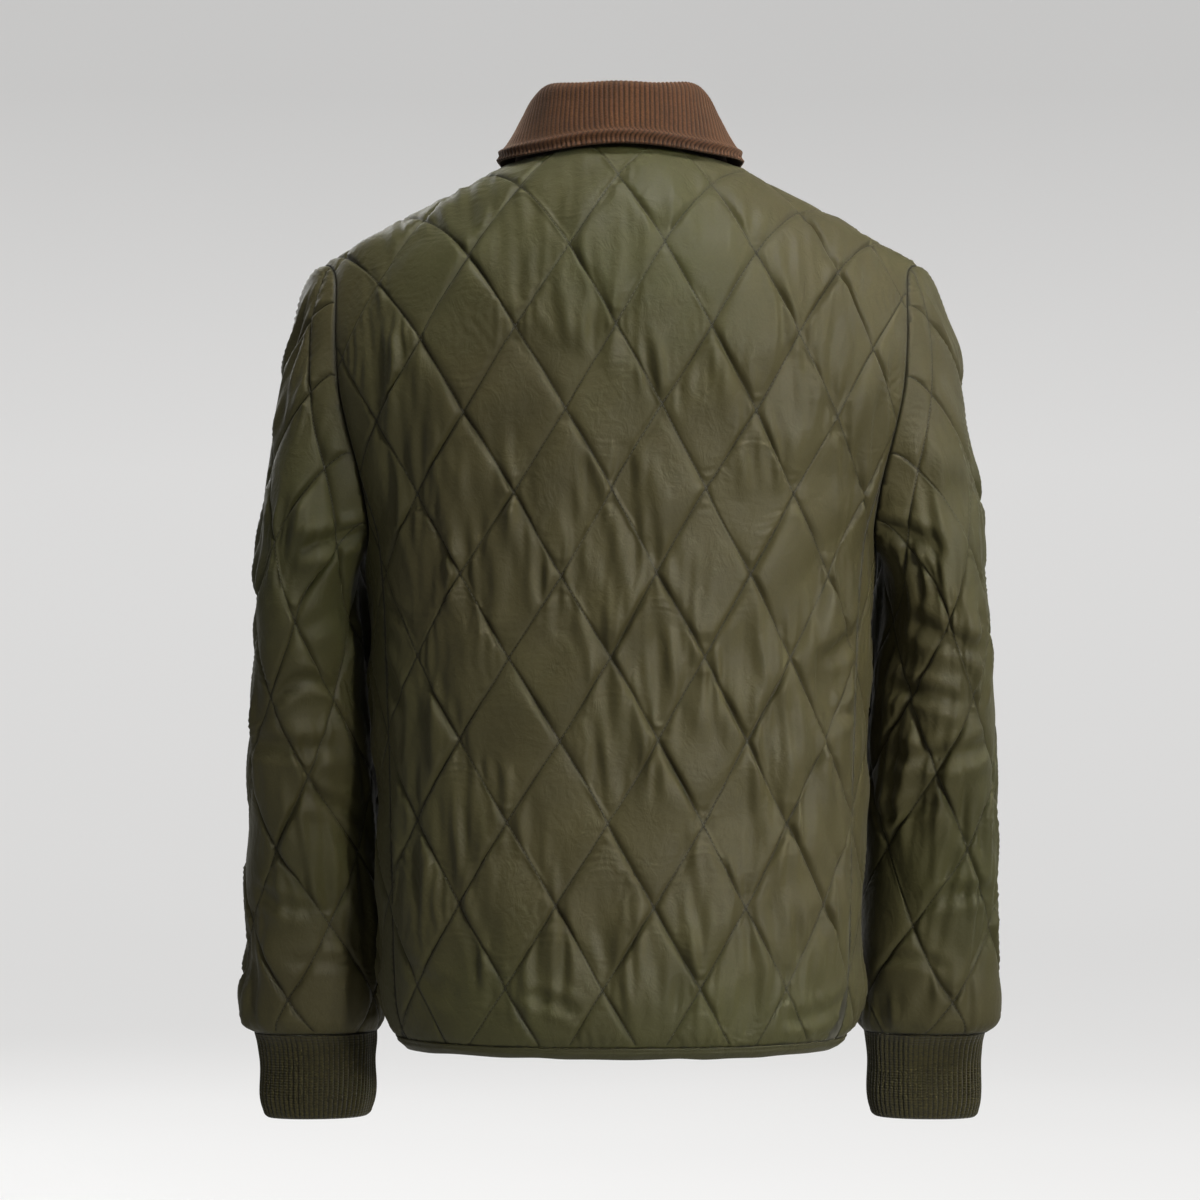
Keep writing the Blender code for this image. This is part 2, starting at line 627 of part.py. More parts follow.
def cap_curves(turn):
    """For each turn, points down the sleeve cap from the armhole to the first level ring."""
    start, leave = periodic(turn, ARM_EDGE), periodic(turn, ARM_LEAVE)
    end = sleeve_ring(turn, np.full_like(turn, SLEEVE_TOP_RING))
    leave = leave * three_term(CAP_LEAVING, turn)[:, None]
    arrive = np.array((0.0, 0.0, -1.0)) * three_term(CAP_ARRIVING, turn)[:, None]
    t = np.linspace(0.0, 1.0, CAP_SAMPLES)[None, :, None]
    curve = ((1 + 2 * t) * (1 - t) ** 2 * start[:, None] + t * (1 - t) ** 2 * leave[:, None]
             + t * t * (3 - 2 * t) * end[:, None] + t * t * (t - 1) * arrive[:, None])
    run = np.linalg.norm(np.diff(curve, axis=1), axis=-1).cumsum(axis=1)
    return curve, np.concatenate([np.zeros((len(run), 1)), run], axis=1)


def cap_length(turn):
    return cap_curves(turn)[1][:, -1]


def sleeve_point(turn, v):
    """The left sleeve's surface at its stitch lines; v runs up from the cuff seam."""
    curve, run = cap_curves(turn)
    down = np.clip(run[:, -1] - (v - SLEEVE_STRAIGHT), 0.0, run[:, -1])
    index = np.clip((run < down[:, None]).sum(axis=1), 1, CAP_SAMPLES - 1)
    rows = np.arange(len(turn))
    before, after = run[rows, index - 1], run[rows, index]
    share = ((down - before) / (after - before))[:, None]
    cap = curve[rows, index - 1] * (1 - share) + curve[rows, index] * share
    ring = sleeve_ring(turn, np.minimum(SLEEVE_END + v, SLEEVE_TOP_RING))
    return np.where((v > SLEEVE_STRAIGHT)[:, None], cap, ring)


def sleeve_width(v):
    """Full width of the flat sleeve at a length above the cuff seam."""
    return SLEEVE_WRIST + (SLEEVE_BICEPS - SLEEVE_WRIST) * smoothstep(v / SLEEVE_STRAIGHT)


def sleeve_cloth(side):
    """Points and outward normals of the sleeve on the given side."""
    flip = np.array((side, 1.0, 1.0))

    def cloth(places):
        turn = 2 * math.pi * places[:, 0] * side / sleeve_width(places[:, 1])
        skin = sleeve_point(turn, places[:, 1])
        out = -surface_normal(sleeve_point, turn, places[:, 1], step_u=0.004, step_v=0.001)
        return skin * flip, out * flip
    return cloth


def sleeve_outline():
    """Counter-clockwise in the pattern, from the bottom of one side of the underarm seam."""
    bottom = points(steps_between(-SLEEVE_WRIST / 2, SLEEVE_WRIST / 2), 0.0)
    underarm = SLEEVE_STRAIGHT + cap_length(np.array([math.pi]))[0]
    edge_v = steps_between(0.0, underarm)
    edge = points(sleeve_width(edge_v) / 2, edge_v)
    turns = np.concatenate([FRONT_TURNS[6::-1], BACK_TURNS[-2::-1], FRONT_TURNS[-2:5:-1] - 2 * math.pi])
    cap_v = SLEEVE_STRAIGHT + cap_length(turns)
    cap = points(turns / (2 * math.pi) * sleeve_width(cap_v), cap_v)
    outline = join(bottom, edge, cap, edge[::-1] * (-1, 1))[:-1]
    first, last = len(bottom) - 1, len(bottom) + len(edge) - 3
    right = set(range(first, last + 1))
    left = set(range(len(outline) - len(edge) + 1, len(outline)))
    return outline, right | left


def make_sleeve(name, side):
    outline, sewn = sleeve_outline()
    grid, p, q = lattice(outline, DIAMOND_WIDTH, SLEEVE_DIAMOND_HEIGHT, SLEEVE_QUILT_SHIFT,
                         SLEEVE_QUILT_ROW, CELLS)
    puffs = PUFF * diamond_puff(p, q, CELLS)
    if side < 0:
        outline = outline[::-1] * (-1, 1)
        grid = grid * (-1, 1)
        sewn = {(len(outline) - 2 - i) % len(outline) for i in sewn}
    quilted_wall(name, outline, grid, puffs, sleeve_cloth(side), sewn_edges=sewn)


# ---- the rib cuffs ----
def cuff_ring(turn, outer, inner, deep, grow):
    """A ring of the left cuff, moved out by grow."""
    half = (outer - inner) / 2
    x, y = oval(turn, half + grow, deep + grow)
    return np.stack([(outer + inner) / 2 + x, CUFF_MIDDLE_Y + y], axis=-1)


def even_turns(count):
    """Turns that split the cuff's girth evenly."""
    fine = np.linspace(0.0, 2 * math.pi, 1441)
    _, outer, inner, deep, _ = CUFF_RINGS[2]
    ring = cuff_ring(fine, outer, inner, deep, 0.0)
    run = np.concatenate(([0.0], np.linalg.norm(np.diff(ring, axis=0), axis=1).cumsum()))
    return np.interp(np.arange(count) / count * run[-1], run, fine)


def make_cuff(name, side):
    columns, plain = 2 * CUFF_RIBS, CUFF_RIBS // 2
    share = columns // plain
    turns, inner_turns = even_turns(columns), even_turns(plain)
    rib = np.where(np.arange(columns) % 2 == 0, CUFF_RIB_HEIGHT, 0.0)
    rows = []
    for height, outer, inner, deep, rib_share in CUFF_RINGS:
        ring = cuff_ring(turns, outer, inner, deep, rib * rib_share)
        rows.append(np.column_stack([ring, np.full(columns, height)]))
    inner_rows = (CUFF_RINGS[0], CUFF_RINGS[2], CUFF_RINGS[-1])
    for height, outer, inner, deep, _ in inner_rows:
        ring = cuff_ring(inner_turns, outer, inner, deep, -CUFF_WALL)
        rows.append(np.column_stack([ring, np.full(plain, height)]))
    base = columns * len(CUFF_RINGS)
    faces = tube_faces(0, columns, len(CUFF_RINGS)) + tube_faces(base, plain, len(inner_rows))
    ends = ((0, base), (base - columns, base + plain * (len(inner_rows) - 1)))
    for outer_start, inner_start in ends:
        for k in range(plain):
            strip = [outer_start + (k * share + i) % columns for i in range(share + 1)]
            faces.append(tuple(strip + [inner_start + (k + 1) % plain, inner_start + k]))
    solid(name, np.concatenate(rows) * (side, 1, 1), faces, RIB_KNIT)


def tube_faces(start, columns, rows):
    """Quads of a tube of rings, each ring one row of vertices."""
    faces = []
    for row in range(rows - 1):
        for i in range(columns):
            j = (i + 1) % columns
            low, high = start + row * columns, start + (row + 1) * columns
            faces.append((low + i, low + j, high + j, high + i))
    return faces


def swept(name, sections, look):
    """A closed bar through equal sections, each a closed loop of points."""
    stations, count = sections.shape[:2]
    faces = tube_faces(0, count, stations)
    faces.append(tuple(range(count)))
    faces.append(tuple(range((stations - 1) * count, stations * count)))
    return solid(name, sections.reshape(-1, 3), faces, look)


# ---- hem, placket and snaps ----
def make_hem_binding():
    """A narrow strip round the hem, open at the centre front."""
    end = HALF_GIRTH - SEAM_GAP / 2
    u = np.concatenate([-steps_between(end, SIDE_SEAM), steps_between(-SIDE_SEAM, SIDE_SEAM)[1:],
                        steps_between(SIDE_SEAM, end)[1:]])
    top = PANEL_BOTTOM - SEAM_GAP
    loops = []
    for down, offset in HEM_BINDING_PROFILE:
        skin, out = body_cloth(points(u, top + (HEM - top) * down))
        out[:, 2] = 0.0
        loops.append(skin + unit(out) * offset)
    swept("hem_binding", np.stack(loops, axis=1), NYLON)


def placket_skin(u, v, offset):
    """Points over the centre front; u is the distance from its middle."""
    places = points(np.sign(u) * HALF_GIRTH - u, v)
    skin, out = body_cloth(places)
    return skin + out * offset


def make_placket():
    """A straight strip over the front opening, sewn to the left front."""
    neck_u, neck_v = neck_line(True, 40).T
    across = np.array((-1.0, -0.5, -0.02, 0.5, 1.0)) * PLACKET_HALF_WIDTH
    tops = np.interp(HALF_GIRTH - np.abs(across), neck_u, neck_v) - PLACKET_TOP_CLEAR
    sections = []
    for row in np.linspace(0.0, 1.0, PLACKET_ROWS + 1):
        v = PANEL_BOTTOM + (tops - PANEL_BOTTOM) * row
        outside = placket_skin(across, v, PLACKET_OUTSIDE)
        inside_face = placket_skin(across, v, PLACKET_INSIDE)
        sections.append(np.concatenate([outside, inside_face[::-1]]))
    swept("placket", np.stack(sections), NYLON)


def make_snap(name, height):
    """A plain domed cap lying on the placket."""
    beside = np.array([-SEAM_GAP])
    middle = placket_skin(beside, np.array([height]), PLACKET_OUTSIDE + SEAM_GAP)[0]
    up = placket_skin(beside, np.array([height + SNAP_RADIUS]), PLACKET_OUTSIDE + SEAM_GAP)[0]
    tangent = Vector(up - middle).normalized()
    out = Vector((1.0, 0.0, 0.0)).cross(tangent).normalized()
    turn = Matrix((Vector((1.0, 0.0, 0.0)), tangent, out)).transposed()
    sides = SNAP_SIDES
    angle = np.arange(sides) * 2 * math.pi / sides
    rings = [np.column_stack([np.cos(angle) * SNAP_RADIUS * r, np.sin(angle) * SNAP_RADIUS * r,
                              np.full(sides, SNAP_HEIGHT * h)])
             for r, h in SNAP_RINGS]
    local = np.concatenate(rings)
    vertices = local @ np.array(turn.transposed()) + middle
    top = (len(SNAP_RINGS) - 1) * sides
    faces = tube_faces(0, sides, len(SNAP_RINGS)) + [tuple(range(sides)), tuple(range(top, top + sides))]
    solid(name, vertices, faces, BRASS)


# ---- the collar ----
def neck_ring(turn):
    """Neck seam at turns from the centre back, 0, to the centre front, pi, on the left half."""
    front = turn > math.pi / 2
    return body_cloth(neck_places(np.where(front, math.pi - turn, turn), front))[0]


def collar_sections():
    """Middle line of the collar wall and its raised share, station by station."""
    share = np.linspace(-1.0, 1.0, COLLAR_STATIONS)
    back_out, back_up, side_out, side_up, front_out, front_up, raised = (
        np.array([row[k] for row in COLLAR_PROFILES]) for k in range(1, 8))
    fall = np.arange(len(COLLAR_PROFILES)) - COLLAR_FALL_START
    fall = np.clip(fall / fall[-1], 0, 1)
    end_x = COLLAR_END_SEAM + (COLLAR_END_EDGE - COLLAR_END_SEAM) * fall
    end_turn = math.pi - np.arcsin(end_x / NECK_HALF_WIDTH)
    middle = []
    for s in share:
        turn = np.abs(s) * end_turn
        seam = neck_ring(turn)
        ahead = (neck_ring(np.minimum(turn + COLLAR_STEP, math.pi - 1e-4))
                 - neck_ring(np.maximum(turn - COLLAR_STEP, 1e-4)))
        outward = unit(np.stack([-ahead[:, 1], ahead[:, 0]], axis=-1))
        to_side = smoothstep(turn / (math.pi / 2))
        to_front = smoothstep((turn - math.pi / 2) / COLLAR_FRONT_TURN) ** COLLAR_FRONT_DELAY
        out = back_out * (1 - to_side) + (side_out * (1 - to_front) + front_out * to_front) * to_side
        up = back_up * (1 - to_side) + (side_up * (1 - to_front) + front_up * to_front) * to_side
        line = seam + np.column_stack([outward * out[:, None], up])
        middle.append(line * (1 if s >= 0 else -1, 1, 1))
    return np.stack(middle), raised


def make_collar():
    middle, raised = collar_sections()
    along = np.gradient(middle, axis=1)
    round_neck = np.gradient(middle, axis=0)
    out = unit(np.cross(round_neck, along))
    outside = middle + out * (COLLAR_WALL / 2 + COLLAR_RIDGE * raised)[None, :, None]
    inside_face = middle - out * (COLLAR_WALL / 2)
    sections = np.concatenate([outside, inside_face[:, ::-1]], axis=1)
    swept("collar", sections, CORDUROY)


def main():
    clear_scene()
    make_back()
    for name, side in (("left", 1), ("right", -1)):
        make_front("front_" + name, side)
        make_sleeve("sleeve_" + name, side)
        make_cuff("cuff_" + name, side)
    make_hem_binding()
    make_placket()
    for i, height in enumerate(np.linspace(SNAP_TOP, SNAP_BOTTOM, SNAP_COUNT)):
        make_snap(f"snap_{i + 1}", height)
    make_collar()


main()
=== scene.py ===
"""The looks of the quilted jacket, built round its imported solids.

Metres, +Z up.  The back faces +Y, the front -Y, and the wearer's left is +X.
Each quilted panel is simulated flat, in its pattern, as cloth that is stitched
down along the diamonds and pushed up by wadding, and is then laid on the body.
"""
import math

import bmesh
import bpy
import numpy as np
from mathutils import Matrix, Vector
from mathutils.geometry import delaunay_2d_cdt
from mathutils.kdtree import KDTree


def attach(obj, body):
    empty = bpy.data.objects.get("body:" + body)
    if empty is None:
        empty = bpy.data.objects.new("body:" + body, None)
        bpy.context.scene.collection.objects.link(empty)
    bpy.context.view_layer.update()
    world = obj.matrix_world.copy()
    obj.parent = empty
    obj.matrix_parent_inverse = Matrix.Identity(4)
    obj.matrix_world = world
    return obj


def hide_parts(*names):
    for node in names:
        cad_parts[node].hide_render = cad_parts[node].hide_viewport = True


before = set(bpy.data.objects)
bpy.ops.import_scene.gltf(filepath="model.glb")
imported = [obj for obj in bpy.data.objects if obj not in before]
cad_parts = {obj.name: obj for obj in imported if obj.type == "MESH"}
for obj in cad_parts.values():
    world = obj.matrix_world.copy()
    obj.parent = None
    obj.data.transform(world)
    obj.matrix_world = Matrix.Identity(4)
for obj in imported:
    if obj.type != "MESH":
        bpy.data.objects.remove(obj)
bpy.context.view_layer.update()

# ---- sizes that the solids also have ----
WALL = 0.003  # quilted cloth at a stitch line
SEAM_GAP = 0.0003  # between two pieces at a seam
ARMHOLE_GAP = 0.0001
PUFF = 0.0045  # middle of a diamond above its stitch lines
SEAM_FADE = 0.010  # the padding thins out over this width at a seam

DIAMOND_WIDTH = 0.073
SLEEVE_DIAMOND_WIDTH = 0.071
BODY_DIAMOND_HEIGHT = 0.125
SLEEVE_DIAMOND_HEIGHT = 0.119

HEM = -0.681
BINDING_HEIGHT = 0.0085
PANEL_BOTTOM = HEM + BINDING_HEIGHT
UNDERARM = -0.298
GIRTH_HEIGHT = -0.340  # the pattern's widths are true at this height

ROUNDNESS = 2.3  # exponent of the body's oval sections
BODY_SECTIONS = (
    # height, half_width, back_depth, front_depth
    (HEM, 0.1680, 0.1120, 0.1100),
    (-0.674, 0.1742, 0.1170, 0.1150),
    (-0.660, 0.1812, 0.1212, 0.1195),
    (-0.640, 0.1850, 0.1232, 0.1215),
    (-0.600, 0.1870, 0.1240, 0.1225),
    (-0.500, 0.1890, 0.1245, 0.1240),
    (-0.410, 0.1918, 0.1260, 0.1270),
    (GIRTH_HEIGHT, 0.1945, 0.1285, 0.1290),
    (-0.290, 0.1990, 0.1305, 0.1290),
    (-0.250, 0.2110, 0.1325, 0.1280),
    (-0.210, 0.2250, 0.1345, 0.1265),
    (-0.170, 0.2360, 0.1355, 0.1245),
    (-0.120, 0.2430, 0.1355, 0.1215),
    (-0.060, 0.2480, 0.1350, 0.1195),
    (0.060, 0.2500, 0.1350, 0.1190),
)

CREST_TOP = 0.031  # shoulder line at the middle, if the neck were closed
CREST_SLOPE = 0.565
CREST_ROUND = 0.050
SHOULDER_ROLL = 0.150  # height over which the back and front close to the crest
ROLL_ASPECT = 0.85

SIDE_SEAM_ANGLE = math.radians(68)
NECK_HALF_WIDTH = 0.082
NECK_BACK = 0.055  # reach of the neck seam behind and before the crest
NECK_FRONT = 0.105
ARMHOLE_TOP = -0.0745
ARMHOLE_MIDDLE_Y = 0.003
ARMHOLE_REACH = 0.060  # half its width, front to back
ARMHOLE_SQUARE = 0.75  # under 1 squares the oval

QUILT_LEAN = -0.018  # sideways drift of the lattice for each metre of height
QUILT_SHIFT = 0.006
QUILT_SKEW = 0.52  # diamonds are a little wider on the wearer's left
QUILT_SKEW_REACH = 0.22
BODY_QUILT_ROW = -0.2525  # height of one row of crossings on the centre back
ROW_DROOP = 0.022  # rows hang lower near the shoulders
DROOP_START = -0.330
DROOP_HEIGHT = 0.300
DROOP_REACH = 0.200
DROOP_TURN = 0.200  # past this the rows rise again, level with the back at the front

SLEEVE_TOP_RING = -0.340  # the sleeve hangs in level rings below this height
SLEEVE_RINGS = (
    # height, outer_x, inner_x, middle_y, half_depth
    (-0.6765, 0.2895, 0.1935, -0.055, 0.0365),
    (-0.6720, 0.2935, 0.1915, -0.055, 0.0410),
    (-0.6640, 0.2968, 0.1893, -0.055, 0.0455),
    (-0.6500, 0.2970, 0.1885, -0.055, 0.0480),
    (-0.6300, 0.2945, 0.1890, -0.054, 0.0510),
    (-0.5800, 0.2920, 0.1910, -0.050, 0.0570),
    (-0.5200, 0.2900, 0.1925, -0.044, 0.0640),
    (-0.4600, 0.2870, 0.1950, -0.036, 0.0710),
    (-0.4000, 0.2802, 0.1985, -0.027, 0.0770),
    (SLEEVE_TOP_RING, 0.2748, 0.2047, -0.018, 0.0800),
)
SLEEVE_ROUNDNESS = 2.15
SLEEVE_SKEW = 0.22  # the sleeve's flat side turns with the body's side
SLEEVE_WRIST = 0.330  # width of the flat sleeve at the cuff and at the armhole
SLEEVE_BICEPS = 0.412
SLEEVE_QUILT_SHIFT = 0.006
SLEEVE_QUILT_ROW = 0.028  # a row of crossings above the cuff seam
CAP_DIRECTION = (0.80, -0.70, 0.10)  # turn away from the body: mean, top to bottom, waist
CAP_LEAVING = (0.046, 0.024, 0.009)  # reach of the first part of the curve
CAP_ARRIVING = (0.1875, 0.185, 0.0475)
CAP_SAMPLES = 97

CUFF_RIBS = 60
CUFF_RIB_HEIGHT = 0.0009
CUFF_WALL = 0.0022
CUFF_MIDDLE_Y = -0.055
CUFF_RINGS = (
    # height, outer_x, inner_x, half_depth, rib_share
    (-0.6768, 0.2880, 0.1950, 0.0363, 0.3),
    (-0.6840, 0.2855, 0.1960, 0.0325, 1.0),
    (-0.6950, 0.2841, 0.1968, 0.0305, 1.0),
    (-0.7375, 0.2818, 0.1990, 0.0290, 1.0),
    (-0.7422, 0.2803, 0.2005, 0.0277, 0.7),
    (-0.7438, 0.2788, 0.2020, 0.0262, 0.3),
)

COLLAR_WALL = 0.0026
COLLAR_RIDGE = 0.0011  # the turned edge stands out along its stitching
COLLAR_PROFILES = (
    # part, back_out, back_up, side_out, side_up, front_out, front_up, raised, share of COLLAR_CORNER
    ("seam", 0.0000, -0.0006, 0.0000, -0.0006, 0.0000, -0.0006, 0.0, 0.0),
    ("stand", -0.0010, 0.0150, -0.0050, 0.0165, 0.0005, 0.0100, 0.0, 0.3),
    ("stand_top", -0.0020, 0.0320, -0.0145, 0.0340, 0.0010, 0.0200, 0.0, 0.7),
    ("roll_in", -0.0012, 0.0400, -0.0195, 0.0457, 0.0030, 0.0262, 0.0, 0.95),
    ("roll_top", 0.0030, 0.0438, -0.0180, 0.0500, 0.0065, 0.0285, 0.0, 1.0),
    ("roll_out", 0.0072, 0.0415, -0.0138, 0.0472, 0.0105, 0.0255, 0.0, 0.95),
    ("fall_high", 0.0108, 0.0295, -0.0062, 0.0350, 0.0140, 0.0130, 0.0, 0.6),
    ("fall_low", 0.0146, 0.0155, 0.0026, 0.0192, 0.0175, -0.0030, 0.0, 0.25),
    ("ridge_top", 0.0174, 0.0066, 0.0085, 0.0105, 0.0203, -0.0150, 0.1, 0.1),
    ("ridge", 0.0190, 0.0028, 0.0104, 0.0074, 0.0211, -0.0200, 1.0, 0.0),
    ("groove", 0.0203, -0.0008, 0.0120, 0.0045, 0.0218, -0.0245, -0.5, 0.0),
    ("edge", 0.0220, -0.0046, 0.0138, 0.0014, 0.0228, -0.0295, -0.4, 0.0),
)
COLLAR_FALL_START = 5  # profile points before the fall
COLLAR_STEP = 0.01  # turn over which the neck's direction is read
COLLAR_END_SEAM = 0.004  # distance of the collar's ends from the centre front
COLLAR_END_EDGE = 0.034
COLLAR_FRONT_DELAY = 2.0  # over 1 keeps the side profile further round to the front
COLLAR_FRONT_TURN = math.pi / 2 - 0.25  # from the side profile to the front one

PLACKET_HALF_WIDTH = 0.018
PLACKET_INSIDE = 0.0004
PLACKET_OUTSIDE = 0.0030
PLACKET_CLEAR = 0.0012  # plain strip of the front beside the placket
PLACKET_TOP_CLEAR = 0.0012
SNAP_RADIUS = 0.0075
SNAP_HEIGHT = 0.0028
SNAP_COUNT = 5
SNAP_TOP = -0.090
SNAP_BOTTOM = -0.640

# ---- sizes of the looks ----
CELLS = 30  # mesh cells along one side of a diamond
LINE_CROWDING = 0.35  # share by which cells narrow beside a stitch line
EDGE_STEP = 0.0024  # mesh spacing along a seam
EDGE_CLEAR = 0.0009  # mesh points keep this far from a seam
LINING_STEP = 0.014
GROOVE = 0.0008  # a stitch line lies this far under the cloth's surface
SEAM_SINK = 0.0004
LATTICE_WANDER = 0.0013  # the machine's stitch lines wander by about this much
LATTICE_JITTER = 0.0004
LATTICE_MARGIN = (0.050, 0.080)  # how far the lattice reaches past a panel, across and along
LATTICE_COUNTS = np.arange(-24, 25)  # counts of stitch lines among which a panel's are found
CLOTH_STEPS = 420  # rounds of the cloth simulation
BEND = 0.018  # the cloth's stiffness: share of each point's kink taken out in a round
PUSH = 2.2e-5  # lift of the wadding in a round
STITCH_PITCH = 0.0036
STITCH_LENGTH = 0.0027
STITCH_RADIUS = 0.00028
STITCH_CLEAR = 0.002  # no stitch lies nearer to a seam

FILL = (0.46, 0.64)  # a diamond's fill as a share of PUFF, least and most
SURPLUS_ACROSS = (0.014, 0.050)  # surplus of the outer cloth, least and most
SURPLUS_ALONG = (0.012, 0.038)
FOLD_HEIGHT = 0.0030  # upright folds of the loose outer cloth
SWELL_HEIGHT = 0.0020  # broader unevenness of the padding
PUCKER_HEIGHT = 0.0012  # level puckers over and under a crossing
PUCKER_PLACE = 0.013  # their middle above and below the crossing
PUCKER_SPREAD = (0.012, 0.010)
CREASE_FIELDS = {
    # width of a patch, height over which it leans by that width, its height
    "fine": (0.0030, 0.05, 0.022), "broad": (0.0056, -0.08, 0.032), "where": (0.026, math.inf, 0.040),
    "swell": (0.022, 0.045, 0.030), "level": (0.010, 0.02, 0.0027), "pucker": (0.020, math.inf, 0.020),
}
CALM_EDGE = 0.050  # the padding is flatter this near to a seam
CALM_NECK = -0.14  # folds fade out above this height of the body
DEEPEST = 0.0018  # no fold sinks further under the stitch lines' surface
HAND_FOLDS = {
    # from u, v, to u, v in the pattern, width, depth
    "back": (
        (-0.235, -0.330, -0.150, -0.385, 0.007, 0.0035), (0.240, -0.325, 0.165, -0.350, 0.006, 0.0030),
        (0.232, -0.360, 0.175, -0.430, 0.007, 0.0030), (-0.225, -0.400, -0.170, -0.430, 0.006, 0.0025),
        (-0.200, -0.630, -0.120, -0.655, 0.006, 0.0020), (0.190, -0.600, 0.130, -0.650, 0.007, 0.0025),
        (0.030, -0.655, 0.090, -0.640, 0.005, 0.0020), (0.215, -0.450, 0.205, -0.560, 0.008, 0.0030),
        (-0.210, -0.470, -0.200, -0.600, 0.008, 0.0030),
    ),
    "front": (
        (0.300, -0.330, 0.370, -0.380, 0.007, 0.0035), (0.290, -0.370, 0.340, -0.430, 0.006, 0.0030),
        (0.330, -0.600, 0.410, -0.650, 0.006, 0.0025), (0.300, -0.480, 0.295, -0.600, 0.008, 0.0030),
        (0.400, -0.200, 0.360, -0.260, 0.007, 0.0025),
    ),
    "sleeve": (
        (0.060, 0.300, 0.165, 0.335, 0.007, 0.0040), (0.085, 0.262, 0.170, 0.272, 0.006, 0.0035),
        (0.050, 0.235, 0.160, 0.225, 0.007, 0.0040), (0.095, 0.190, 0.165, 0.170, 0.006, 0.0030),
        (0.100, 0.375, 0.185, 0.400, 0.007, 0.0030), (0.040, 0.120, 0.110, 0.100, 0.006, 0.0025),
        (0.070, 0.060, 0.150, 0.050, 0.005, 0.0020), (-0.070, 0.290, -0.160, 0.310, 0.007, 0.0040),
        (-0.050, 0.245, -0.165, 0.235, 0.007, 0.0040), (-0.090, 0.200, -0.160, 0.180, 0.006, 0.0030),
        (-0.100, 0.370, -0.180, 0.395, 0.007, 0.0030), (-0.050, 0.110, -0.120, 0.090, 0.006, 0.0025),
        (0.000, 0.045, -0.080, 0.060, 0.005, 0.0020),
    ),
}
HAND_SHIFT = 0.005  # by which a listed fold moves from one piece to the next

RIB_COLUMNS = 8
CUFF_ROWS = 54
CUFF_GATHER = 0.0010
RIB_WANDER = 0.0016
BINDING_STEP = 0.0021
BINDING_ROWS = 11
BINDING_OVERLAP = 0.0005
BINDING_CLEAR = 0.0004
BINDING_PUFF = 0.0013
BINDING_GROOVE = 0.0010
PLACKET_COLUMNS = 28
PLACKET_ROWS = 320
PLACKET_EDGE = 0.0014  # thickness at the edge
PLACKET_PAD = 0.0014  # further thickness in the middle
TOPSTITCH_EDGE = 0.0045  # from the placket's edge
TOPSTITCH_DEPTH = 0.0011
SNAP_SIDES = 40
SNAP_PROFILE = (
    # radius and height as shares of the cap's
    (0.98, 0.0), (1.0, 0.10), (1.0, 0.32), (0.96, 0.46), (0.88, 0.50), (0.84, 0.44),
    (0.80, 0.50), (0.70, 0.76), (0.52, 0.92), (0.30, 0.98),
)
WALES = 146
WALE_COLUMNS = 6
WALE_HEIGHT = 0.00065
COLLAR_ROWS = 66
COLLAR_INNER_ROWS = 14
COLLAR_CORNER = 0.0064  # the fold stands this much higher at the back's corners
CORNER_TURN = 0.80
CORNER_SPREAD = 0.36

PHOTO_DISTANCE = 3.2  # camera to the middle of the jacket
PHOTO_SCALE = 0.00078  # metres a pixel at that distance
PHOTO_PIXELS = 1200
PHOTO_CENTRE = (0.0164, -0.335)  # x and z of the point in the middle of the photo
SENSOR = 36.0
STAGE_FLOOR = -1.12
STAGE_SIDES = 96
STAGE_PROFILE = (
    # radius and height above the floor
    (3.0, 0.0), (5.2, 0.0), (6.2, 0.12), (7.0, 0.55), (7.5, 1.3), (7.7, 2.3), (7.8, 4.2),
)
BACKDROP_FILL = 0.5  # share of the backdrop's glow that falls on the jacket


# ---- small maths ----
def smoothstep(value):
    t = np.clip(value, 0.0, 1.0)
    return t * t * (3.0 - 2.0 * t)


def hermite(t, start, end, leave, arrive, span):
    """A smooth curve over a span, between two values with their slopes; t runs from 0 to 1."""
    return (start * (1 + 2 * t) * (1 - t) ** 2 + end * t * t * (3 - 2 * t)
            + span * (leave * t * (1 - t) ** 2 + arrive * t * t * (t - 1)))


def smooth_table(table, column, at):
    """Read one column of a table smoothly, without overshoot, at heights in column 0."""
    rows = sorted(table)
    xs, ys = (np.array([row[k] for row in rows]) for k in (0, column))
    step = np.diff(xs)
    slope = np.diff(ys) / step
    inner = np.where(slope[:-1] * slope[1:] > 0,
                     2 * slope[:-1] * slope[1:] / (slope[:-1] + slope[1:] + 1e-30), 0.0)
    tangent = np.concatenate(([slope[0]], inner, [slope[-1]]))
    at = np.clip(at, xs[0], xs[-1])
    i = np.clip(np.searchsorted(xs, at) - 1, 0, len(step) - 1)
    return hermite((at - xs[i]) / step[i], ys[i], ys[i + 1], tangent[i], tangent[i + 1], step[i])


def running(lengths):
    """Distances along a line, from the lengths of its steps."""
    return np.concatenate(([0.0], np.cumsum(lengths)))


def signed_power(value, exponent):
    return np.sign(value) * np.abs(value) ** exponent


def three_term(terms, turn):
    """A quantity that goes round a ring: mean, once-round and twice-round parts."""
    mean, once, twice = terms
    return mean + once * np.cos(turn) + twice * np.cos(2 * turn)


def unit(vectors):
    return vectors / np.linalg.norm(vectors, axis=-1, keepdims=True)


def left_of(runs):
    """Flat vectors turned a quarter turn to the left."""
    return np.stack([-runs[:, 1], runs[:, 0]], axis=-1)


def points(us, vs):
    return np.stack(np.broadcast_arrays(us, vs), axis=-1)


def steps_between(start, end, step=EDGE_STEP):
    return np.linspace(start, end, max(2, round(abs(end - start) / step) + 1))


def join(*lines):
    """Chain lines end to end, dropping each repeated corner."""
    return np.concatenate([lines[0]] + [line[1:] for line in lines[1:]])


